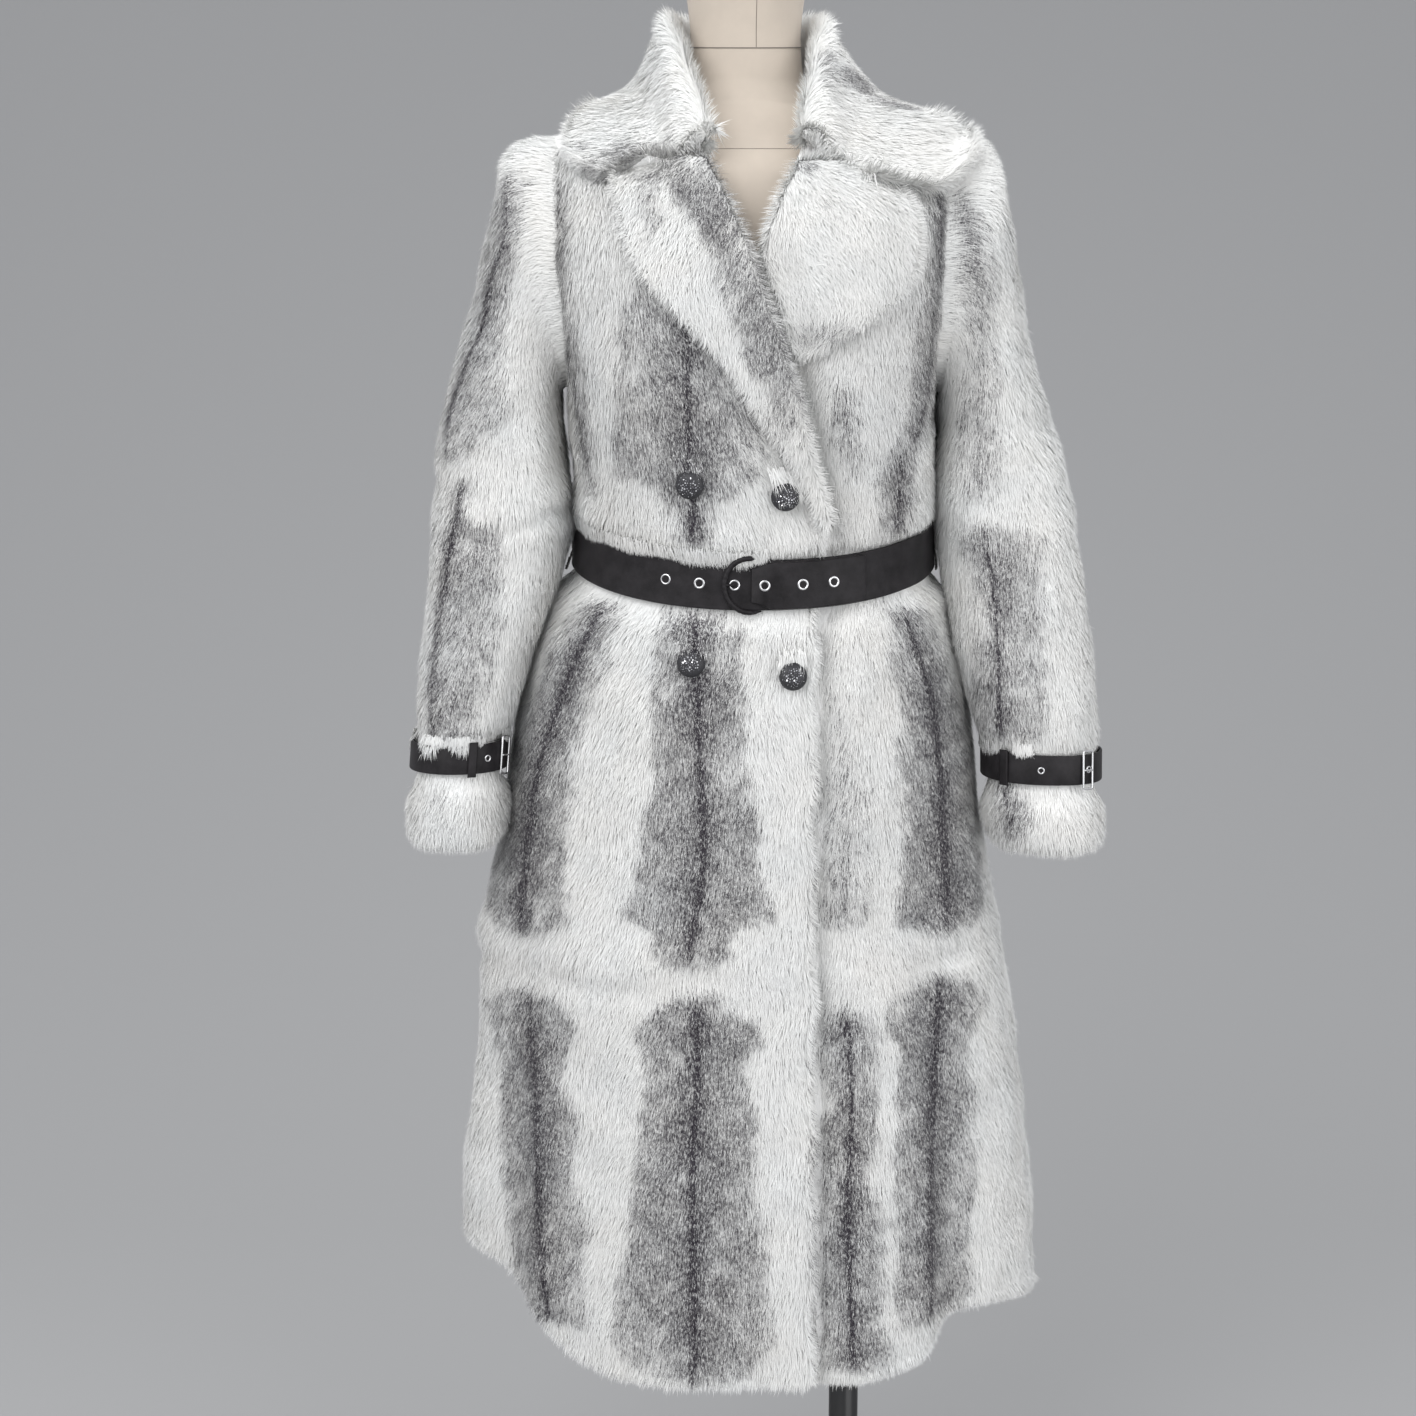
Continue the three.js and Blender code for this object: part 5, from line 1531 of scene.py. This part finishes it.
def tube_object(name, rings, material, closed_path=False, caps=True):
    """A tube through rings of points; its ends are closed with fans unless the path is."""
    rings = np.asarray(rings)
    count, sides = rings.shape[:2]
    index = np.arange(count * sides).reshape(count, sides)
    following = np.roll(index, -1, axis=0) if closed_path else index[1:]
    before = index if closed_path else index[:-1]
    a, b = before, np.roll(before, -1, axis=1)
    c, d = np.roll(following, -1, axis=1), following
    triangles = np.concatenate([
        np.stack([a, b, c], -1).reshape(-1, 3),
        np.stack([a, c, d], -1).reshape(-1, 3),
    ])
    points = rings.reshape(-1, 3)
    if caps and not closed_path:
        middles = np.stack([rings[0].mean(0), rings[-1].mean(0)])
        start, end = len(points), len(points) + 1
        points = np.concatenate([points, middles])
        first, last = index[0], index[-1]
        triangles = np.concatenate([
            triangles,
            np.stack([np.roll(first, -1), first, np.full(sides, start)], -1),
            np.stack([last, np.roll(last, -1), np.full(sides, end)], -1),
        ])
    volume = (points[triangles[:, 0]] * np.cross(points[triangles[:, 1]], points[triangles[:, 2]])).sum()
    if volume < 0:
        triangles = triangles[:, ::-1]
    return mesh_object(name, points, triangles, material)


def round_wire(path, radius, sides=10, closed=False):
    """Rings of a round wire along a path of points."""
    path = np.asarray(path, float)
    ahead = np.roll(path, -1, axis=0) - np.roll(path, 1, axis=0)
    if not closed:
        ahead[0], ahead[-1] = path[1] - path[0], path[-1] - path[-2]
    ahead = unit(ahead)
    guide = np.array([0.03, 1.0, 0.02])
    right = unit(np.cross(ahead, guide))
    up = np.cross(right, ahead)
    angle = np.linspace(0, 2 * np.pi, sides, endpoint=False)
    radius = np.broadcast_to(np.asarray(radius, float).reshape(-1, 1, 1), (len(path), 1, 1))
    return path[:, None] + radius * (
        right[:, None] * np.cos(angle)[None, :, None] + up[:, None] * np.sin(angle)[None, :, None]
    )


def torus_rings(centre, normal, radius, wire, around=40, sides=12):
    normal = unit(np.asarray(normal, float))
    across = unit(np.cross(normal, [0, 0, 1.0]))
    up = np.cross(across, normal)
    rings = []
    for turn in np.linspace(0, 2 * np.pi, around, endpoint=False):
        out = across * math.cos(turn) + up * math.sin(turn)
        angle = np.linspace(0, 2 * np.pi, sides, endpoint=False)[:, None]
        rings.append(centre + out * radius + wire * (out * np.cos(angle) + normal * np.sin(angle)))
    return rings


class COAT_OT_belt(bpy.types.Operator):
    """Make the belt, its buckle, eyelets and loops."""

    bl_idname = "coat.belt"
    bl_label = "Belt"

    def execute(self, context):
        trim = context.scene.coat_trim
        leather = leather_material("Belt Leather", list(trim.leather))
        silver = metal_material("Silver", list(trim.silver), 0.22)
        thread = thread_material("Loop Thread", list(trim.thread))
        levels = (WAIST_LEVEL - BELT_WIDTH / 2, WAIST_LEVEL + BELT_WIDTH / 2)
        top = BELT_FLOOR + BELT_LEATHER
        section = rounded_band(levels, BELT_FLOOR, top)
        turns = np.linspace(0, 360, 180, endpoint=False)
        rings = []
        for turn in turns:
            level, lift = np.array(section).T
            rings.append(coat_point(np.full(len(level), turn), level, lift))
        rings = np.array(rings)
        rings += 0.25 * waves(rings, 24, 81)[..., None] * unit(rings * (1, 1, 0))
        belt = tube_object("belt_band", rings, leather, closed_path=True)
        finish_piece(belt, "belt_leather", "belt")
        self.tongue(leather, top)
        self.buckle(leather, top)
        self.eyelets(silver, leather, top)
        self.loops(thread)
        return {"FINISHED"}

    def tongue(self, leather, top):
        """The free end: squeezed by the buckle, creased beside it, with rounded corners."""
        floor = top + BELT_FLOOR
        ceiling = floor + BELT_LEATHER
        rings = []
        start, end = 1.5, 96
        places = (np.linspace(start, 28, 28), np.linspace(30, 92, 24), np.linspace(93, end, 7))
        for x in np.concatenate(places):
            squeeze = 6.5 * (1 - smooth((x - start) / 20))
            corner = 4 * (1 - math.sqrt(max(1 - ((x - 92) / 4.2) ** 2, 0))) if x > 92 else 0
            half = BELT_WIDTH / 2 - squeeze - corner
            section = np.array(rounded_band((WAIST_LEVEL - half, WAIST_LEVEL + half), floor, ceiling))
            level, lift = section.T
            fan = np.sin((level - WAIST_LEVEL) * 0.62) * (1 - smooth((x - 2) / 15))
            lift = lift + fan + 0.7 * (1 - smooth((x - start) / 8))
            rings.append(coat_point(np.full(len(level), turn_at(x, WAIST_LEVEL)), level, lift))
        tongue = tube_object("belt_free_end", rings, leather)
        finish_piece(tongue, "belt_leather", "belt_tongue")

    def buckle(self, leather, top):
        """A half ring wrapped with a leather strip, and its prong."""
        degrees = np.linspace(64, 296, 117)
        angle = np.radians(degrees)
        x = -0.5 + 21 * np.cos(angle)
        lift = top + 3.6 - 6.4 * smooth((np.abs(degrees - 180) - 82) / 32)
        path = coat_point(turn_at(x, WAIST_LEVEL), np.full_like(x, WAIST_LEVEL), lift)
        path[:, 2] += 23 * np.sin(angle)
        wrap = 2.15 + 0.25 * np.abs(np.sin(np.radians(degrees) * 15))
        ring = tube_object("belt_half_ring", round_wire(path, wrap, 12), leather)
        finish_piece(ring, "belt_leather", "belt_buckle")
        reach = np.linspace(-21.5, -13, 9)
        lift = top + 4.4 - 2.4 * smooth((reach + 21.5) / 8.5)
        prong = coat_point(turn_at(reach, WAIST_LEVEL), np.full_like(reach, WAIST_LEVEL), lift)
        radius = np.linspace(1.3, 0.9, 9)
        piece = tube_object("belt_prong", round_wire(prong, radius, 10), leather)
        finish_piece(piece, "belt_leather")

    def eyelets(self, silver, leather, top):
        fur, _ = coat_materials()
        for i, (x, on_tongue) in enumerate(zip(EYELETS["x"], EYELETS["on_tongue"], strict=True)):
            turn = turn_at(x, WAIST_LEVEL)
            floor = top + on_tongue * (BELT_FLOOR + BELT_LEATHER)
            normal = coat_normal(turn, WAIST_LEVEL)
            centre = coat_point(turn, WAIST_LEVEL, floor + 0.55)
            rings = torus_rings(centre, normal, 3.9, 1.15, 36, 10)
            ring = tube_object(f"eyelet_ring_{i + 1}", rings, silver, closed_path=True)
            finish_piece(ring, "silver_metal", f"eyelet_{i + 1}")
            across = unit(np.cross(normal, [0, 0, 1.0]))
            up = np.cross(across, normal)
            angle = np.linspace(0, 2 * np.pi, 20, endpoint=False)[:, None]
            edge = centre - normal * 0.3 + 3.0 * (across * np.cos(angle) + up * np.sin(angle))
            disc = [edge, centre - normal * 0.5 + (edge - centre) * 0.05]
            hole = tube_object(f"eyelet_hole_{i + 1}", disc, leather if on_tongue else fur)
            if not on_tongue:
                keep_number(hole, "tone", np.full(len(hole.data.vertices), 0.22))
            finish_piece(hole, "belt_leather" if on_tongue else "fur")

    def loops(self, thread):
        """A loop of two twisted threads over the belt at each side seam."""
        path = table(
            "step level lift",
            (0, 1072, 1.2), (1, 1069, 4.4), (2, 1065, 6.0), (3, 1045, 6.2), (4, 1025, 6.0),
            (5, 1020, 4.2), (6, 1016, 1.6),
        )
        for name, side in (("right", -90), ("left", 90)):
            steps = np.linspace(0, 6, 70)
            level, lift = read(path, steps, "level"), read(path, steps, "lift")
            strands = []
            for phase in (0, np.pi):
                twist = steps * 7 + phase
                turn = side + 0.32 * np.cos(twist)
                strands.append(round_wire(coat_point(turn, level, lift + 0.7 * np.sin(twist)), 0.85, 8))
            for number, rings in enumerate(strands):
                piece = tube_object(f"belt_loop_{name}_thread_{number + 1}", rings, thread)
                if number:
                    finish_piece(piece, "loop_thread")
                else:
                    finish_piece(piece, "loop_thread", f"belt_loop_{name}")


class COAT_OT_buttons(bpy.types.Operator):
    """Make the four domed buttons, set with small stones."""

    bl_idname = "coat.buttons"
    bl_label = "Buttons"
    profile = ((10.4, 0), (11.8, 1), (12.2, 2.4), (11.2, 4.6), (8, 6.6), (4, 7.5), (0.3, 7.8))

    def execute(self, context):
        dome = paint_material("Button Dome", [0.02, 0.02, 0.023], 0.55)
        stone = metal_material("Button Stones", [0.2, 0.2, 0.22], 0.2)
        pale = metal_material("Button Pale Stones", [0.92, 0.92, 0.95], 0.1)
        rng = np.random.default_rng(91)
        for i, (x, level) in enumerate(zip(BUTTONS["x"], BUTTONS["level"], strict=True)):
            turn = turn_at(x, level)
            normal = coat_normal(turn, level)
            across = unit(np.cross([0, 0, 1.0], normal))
            up = np.cross(normal, across)
            centre = coat_point(turn, level, 0.35)

            def placed(local, centre=centre, across=across, up=up, normal=normal):
                return centre + local[..., :1] * across + local[..., 1:2] * up + local[..., 2:] * normal

            rings = []
            angle = np.linspace(0, 2 * np.pi, 36, endpoint=False)
            for radius, height in self.profile:
                ring = np.stack([radius * np.cos(angle), radius * np.sin(angle), np.full(36, height)], -1)
                rings.append(placed(ring))
            body = tube_object(f"button_dome_{i + 1}", rings, dome)
            finish_piece(body, "button_glitter", f"button_{i + 1}")
            self.stones(i, placed, stone, pale, rng)
        return {"FINISHED"}

    def stones(self, i, placed, stone, pale, rng):
        count = 170
        k = np.arange(count) + 0.5
        tilt = np.arccos(1 - k / count * 0.97)
        spin = k * math.pi * (1 + math.sqrt(5))
        out = np.stack([np.sin(tilt) * np.cos(spin), np.sin(tilt) * np.sin(spin), np.cos(tilt)], -1)
        seat = out * (11.6, 11.6, 7.3) + (0, 0, 0.5)
        octahedron = np.concatenate([np.eye(3), -np.eye(3)])
        ring = ((0, 1), (1, 3), (3, 4), (4, 0))
        sides = np.array([(a, b, 2) for a, b in ring] + [(b, a, 5) for a, b in ring])
        points, faces = [], []
        for n in range(count):
            turn = rng.normal(size=(3, 3))
            frame_here, _ = np.linalg.qr(turn)
            size = rng.uniform(0.8, 1.25)
            points.append(seat[n] + octahedron @ frame_here.T * size)
            faces.append(sides + 6 * n)
        points = placed(np.concatenate(points))
        made = mesh_object(f"button_stones_{i + 1}", points, np.concatenate(faces), stone, soft=False)
        made.data.materials.append(pale)
        which = np.repeat(rng.random(count) < 0.5, 8).astype(np.int32)
        made.data.polygons.foreach_set("material_index", which)
        finish_piece(made, "button_glitter")


class COAT_OT_cuffs(bpy.types.Operator):
    """Make the straps of both cuffs, with their keepers and buckles."""

    bl_idname = "coat.cuffs"
    bl_label = "Cuff Straps"

    def execute(self, context):
        leather = bpy.data.materials["Belt Leather"]
        silver = bpy.data.materials["Silver"]
        for name, sheet, side, keeper, buckle, holes in (
            ("right", SLEEVE_RIGHT, -1, -109, -155, (-128,)),
            ("left", SLEEVE_LEFT, 1, -133, -54, (-97, -51)),
        ):
            self.strap(name, sheet, side, leather)
            self.keeper(name, sheet, side, keeper, leather)
            self.buckle(name, sheet, side, buckle, silver)
            for number, turn in enumerate(holes):
                self.hole(f"{name}_{number + 1}", sheet, side, turn, silver, leather)
        return {"FINISHED"}

    def band_point(self, sheet, side, share, turn, lift):
        """A point of the strap: share is 0 at its upper edge and 1 at its lower one."""
        low = sleeve_face(sheet, side, STRAP_ROWS[0], turn, lift)
        high = sleeve_face(sheet, side, STRAP_ROWS[1], turn, lift)
        share = np.asarray(share, float)[..., None]
        return low * (1 - share) + high * share

    def strap(self, name, sheet, side, leather):
        rings = []
        section = np.array(rounded_band((1.1, 26.9), SEAM, SEAM + CUFF_LEATHER, 0.8))
        for turn in np.linspace(0, 360, 120, endpoint=False):
            share, lift = section[:, 0] / 28, section[:, 1]
            rings.append(self.band_point(sheet, side, share, np.full(len(share), turn), lift))
        rings = np.array(rings)
        rings += 0.2 * waves(rings, 16, 82)[..., None] * unit(rings - rings.mean((0, 1))) * (1, 1, 0)
        piece = tube_object(f"cuff_band_{name}", rings, leather, closed_path=True)
        finish_piece(piece, "belt_leather", f"cuff_strap_{name}")

    def keeper(self, name, sheet, side, middle, leather):
        rings = []
        floor = SEAM + CUFF_LEATHER + SEAM
        for turn in np.linspace(middle - 4.5, middle + 4.5, 9):
            section = np.array(rounded_band((-1.4, 29.4), floor, floor + 2, 0.7))
            share, lift = section[:, 0] / 28, section[:, 1]
            rings.append(self.band_point(sheet, side, share, np.full(len(share), turn), lift))
        piece = tube_object(f"cuff_loop_{name}", rings, leather)
        finish_piece(piece, "belt_leather", f"cuff_keeper_{name}")

    def buckle(self, name, sheet, side, turn, silver):
        """A slim rectangular frame of round wire, with its prong."""
        floor = SEAM + CUFF_LEATHER + 1.7
        centre = self.band_point(sheet, side, 0.5, turn, floor)
        out = unit(self.band_point(sheet, side, 0.5, turn, floor + 3) - centre)
        up = unit(self.band_point(sheet, side, 0.0, turn, floor) - centre)
        across = np.cross(up, out)
        path = []
        for sx, sy, begin in ((1, 1, 0), (-1, 1, 90), (-1, -1, 180), (1, -1, 270)):
            for degrees in np.linspace(begin, begin + 90, 6):
                angle = math.radians(degrees)
                x = sx * 4.0 + 1.6 * math.cos(angle)
                y = sy * 14.9 + 1.6 * math.sin(angle)
                path.append(centre + across * x + up * y)
        rings = round_wire(path, 1.05, 10, closed=True)
        piece = tube_object(f"cuff_frame_{name}", rings, silver, closed_path=True)
        finish_piece(piece, "silver_metal", f"cuff_buckle_{name}")
        reach = np.array([-5.4, -4.6, -2, 2, 4.6, 5.6])[:, None]
        height = np.array([1.0, 1.5, 0.9, 0.9, 1.5, 1.1])[:, None]
        prong = round_wire(centre + across * reach + out * height, 0.7, 8)
        finish_piece(tube_object(f"cuff_prong_{name}", prong, silver), "silver_metal")

    def hole(self, name, sheet, side, turn, silver, leather):
        """A small eyelet in the strap, dark inside."""
        centre = self.band_point(sheet, side, 0.5, turn, SEAM + CUFF_LEATHER + 0.2)
        out = unit(self.band_point(sheet, side, 0.5, turn, SEAM + CUFF_LEATHER + 3) - centre)
        ring = tube_object(f"cuff_eyelet_{name}", torus_rings(centre, out, 2.5, 0.8, 24, 8), silver, True)
        finish_piece(ring, "silver_metal")


class COAT_OT_form(bpy.types.Operator):
    """Make the dress form with its fine seams."""

    bl_idname = "coat.form"
    bl_label = "Dress Form"
    cap_profile = (
        *((0.3, 0.97), (1.0, 0.99), (2, 1), (4.5, 0.985), (7, 0.955), (9.4, 0.86), (11, 0.72)),
        *((12.1, 0.5), (12.5, 0.3), (12.6, 0.03)),
    )

    def execute(self, context):
        stand = context.scene.coat_stand
        jersey = jersey_material("Form Jersey", list(stand.jersey))
        seam = jersey_material("Form Seams", [0.3 * c for c in stand.jersey])
        turns = np.arange(0, 360, 3.0)
        rings = []
        for level in np.concatenate([np.linspace(880, 1380, 36), np.linspace(1386, 1450, 22)]):
            inset = float(read(FORM_INSET, level, "inset"))
            rings.append(coat_point(turns, np.full_like(turns, level), np.full_like(turns, -inset)))
        foot = coat_point(turns, np.full_like(turns, 790.0), np.full_like(turns, -72.0))
        foot[:, 2] = 790
        rings.insert(0, foot)
        for level in np.linspace(1457, 1566, 24):
            rings.append(self.neck_ring(level, turns))
        torso = tube_object("form_body", rings, jersey)
        finish_piece(torso, "form_linen", "form_torso")
        cap_rings = []
        for rise, share in self.cap_profile:
            ring = self.neck_ring(1566, turns)
            middle = np.array([-3, 0, 1566.0])
            ring = middle + (ring - middle) * (share, share, 1) + (0, 0, rise)
            cap_rings.append(ring)
        cap = tube_object("form_cap", cap_rings, jersey)
        finish_piece(cap, "form_linen", "form_neck_cap")
        self.seams(seam)
        return {"FINISHED"}

    def neck_ring(self, level, turns):
        angle = np.radians(turns)
        front, back = read(NECK, level, "front"), read(NECK, level, "back")
        depth = np.where(np.cos(angle) > 0, front, back)
        x = -3 + read(NECK, level, "half_width") * np.sin(angle)
        return np.stack([x, -depth * np.cos(angle), np.full_like(x, level)], -1)

    def seams(self, seam):
        """Fine sewn lines: round the neck, up from there, and across the chest."""
        turns = np.linspace(0, 360, 121)[:-1]
        low, high = self.neck_ring(1474, turns), self.neck_ring(1500, turns)
        share = ((17 - 7 * np.cos(np.radians(turns))) / 26)[:, None]
        path = low * (1 - share) + high * share
        self.stitched("form_seam_neck", path, seam, True)
        levels = np.linspace(1485, 1565.5, 30)
        path = np.array([self.neck_ring(level, np.array([10.0]))[0] for level in levels])
        self.stitched("form_seam_nape", path, seam, False)
        turns = np.linspace(-60, 60, 50)
        inset = -read(FORM_INSET, 1405.0, "inset")
        path = coat_point(turns, np.full_like(turns, 1405.0), np.full_like(turns, inset))
        self.stitched("form_seam_chest", path, seam, False)

    def stitched(self, name, path, seam, closed):
        """A seam's fine ridge, half sunk in the cover."""
        rings = round_wire(path, 0.5 if name.endswith("neck") else 0.3, 6, closed=closed)
        finish_piece(tube_object(name, rings, seam, closed_path=closed), "form_linen")


class COAT_OT_stand(bpy.types.Operator):
    """Make the post with its flange, and the base plate."""

    bl_idname = "coat.stand"
    bl_label = "Stand"

    def execute(self, context):
        paint = paint_material("Stand Paint", list(context.scene.coat_stand.paint), 0.28)
        profile = (
            *((0.5, 10.3), (31.5, 10.3), (32, 10.8), (32, 13.6), (31.2, 14.3), (24, 16.2)),
            *((19.6, 18.3), (19, 19.4), (19, 43.6), (18.5, 44.3), (14.4, 46.2), (14, 46.9)),
            *((14, 789.3), (13.6, 789.7), (0.5, 789.7)),
        )
        post = self.turned("stand_post", profile, (95, 8), 48, paint)
        finish_piece(post, "stand_paint", "post")
        profile = (
            *((1, 0), (208, 0), (209.4, 0.6), (210, 2), (210, 7), (209.2, 8.8), (207.4, 9.8)),
            *((206, 10), (1, 10)),
        )
        base = self.turned("stand_base", profile, (0, 0), 128, paint)
        finish_piece(base, "stand_paint", "base_plate")
        return {"FINISHED"}

    def turned(self, name, profile, centre, sides, material):
        angle = np.linspace(0, 2 * np.pi, sides, endpoint=False)
        rings = [
            np.stack([centre[0] + r * np.cos(angle), centre[1] + r * np.sin(angle), np.full(sides, z)], -1)
            for r, z in profile
        ]
        return tube_object(name, rings, material)


class COAT_OT_stage(bpy.types.Operator):
    """Make the floor, backdrop, lights and camera."""

    bl_idname = "coat.stage"
    bl_label = "Stage"

    def execute(self, context):
        scene = context.scene
        floor = floor_material("Floor", list(scene.coat_stand.floor))
        path = [(-7.0, 0.0), (1.0, 0.0)]
        path += [(1 + 4 * math.sin(a), 4 - 4 * math.cos(a)) for a in np.linspace(0.04, math.pi / 2, 32)]
        path += [(5.0, 7.0)]
        points = [(x * 1000, y * 1000, z * 1000 - 0.4) for y, z in path for x in (-8, 8)]
        faces = [(2 * i, 2 * i + 1, 2 * i + 3, 2 * i + 2) for i in range(len(path) - 1)]
        mesh_object("backdrop", points, faces, floor)
        world = bpy.data.worlds.new("Studio")
        scene.world = world
        world.use_nodes = True
        world.node_tree.nodes["Background"].inputs["Color"].default_value = (0.96, 0.97, 1.0, 1)
        world.node_tree.nodes["Background"].inputs["Strength"].default_value = 0.8
        for name, place, aim, size, power in (
            ("key", (-1.5, -2.3, 2.5), (0, 0, 0.95), 2.4, 57),
            ("fill", (1.9, -2.2, 1.5), (0, 0, 0.9), 2.4, 32),
            ("top", (0.2, 0.4, 3.3), (0, 0, 0.8), 1.8, 20),
        ):
            lamp = bpy.data.lights.new(name, "AREA")
            lamp.shape = "SQUARE"
            lamp.size = size
            lamp.energy = power
            made = bpy.data.objects.new(name, lamp)
            scene.collection.objects.link(made)
            made.location = place
            away = np.array(place) - np.array(aim)
            yaw = math.atan2(away[0], -away[1])
            pitch = math.atan2(math.hypot(away[0], away[1]), away[2])
            made.rotation_euler = (pitch, 0, yaw)
        lens = bpy.data.cameras.new("camera")
        lens.sensor_width = 36
        lens.lens = 36 * 2200 / 1416
        camera = bpy.data.objects.new("camera", lens)
        scene.collection.objects.link(camera)
        camera.location = (-0.036, -2.0, 1.205)
        camera.rotation_euler = (math.pi / 2 - math.atan(2200 / 14580), 0, 0)
        scene.camera = camera
        return {"FINISHED"}


STEPS = (
    COAT_OT_stage,
    COAT_OT_body,
    COAT_OT_sleeves,
    COAT_OT_collar,
    COAT_OT_belt,
    COAT_OT_buttons,
    COAT_OT_cuffs,
    COAT_OT_form,
    COAT_OT_stand,
)


class COAT_PT_panel(bpy.types.Panel):
    """The coat's steps and sizes in the sidebar."""

    bl_idname = "COAT_PT_panel"
    bl_label = "Fur Coat"
    bl_space_type = "VIEW_3D"
    bl_region_type = "UI"
    bl_category = "Fur Coat"

    def draw(self, context):
        for group in (context.scene.fur_coat, context.scene.coat_trim, context.scene.coat_stand):
            column = self.layout.column()
            for name in group.__annotations__:
                column.prop(group, name)
        for step in STEPS:
            self.layout.operator(step.bl_idname)


CLASSES = (CoatSettings, TrimSettings, StandSettings, *STEPS, COAT_PT_panel)


def register():
    for cls in CLASSES:
        bpy.utils.register_class(cls)
    bpy.types.Scene.fur_coat = bpy.props.PointerProperty(type=CoatSettings)
    bpy.types.Scene.coat_trim = bpy.props.PointerProperty(type=TrimSettings)
    bpy.types.Scene.coat_stand = bpy.props.PointerProperty(type=StandSettings)


def unregister():
    del bpy.types.Scene.coat_stand
    del bpy.types.Scene.coat_trim
    del bpy.types.Scene.fur_coat
    for cls in reversed(CLASSES):
        bpy.utils.unregister_class(cls)


def main():
    register()
    bpy.context.scene.view_settings.view_transform = "Standard"
    for step in STEPS:
        group, name = step.bl_idname.split(".")
        if getattr(getattr(bpy.ops, group), name)() != {"FINISHED"}:
            raise RuntimeError(f"{step.bl_label} wasn't made")


if __name__ == "__main__":
    main()
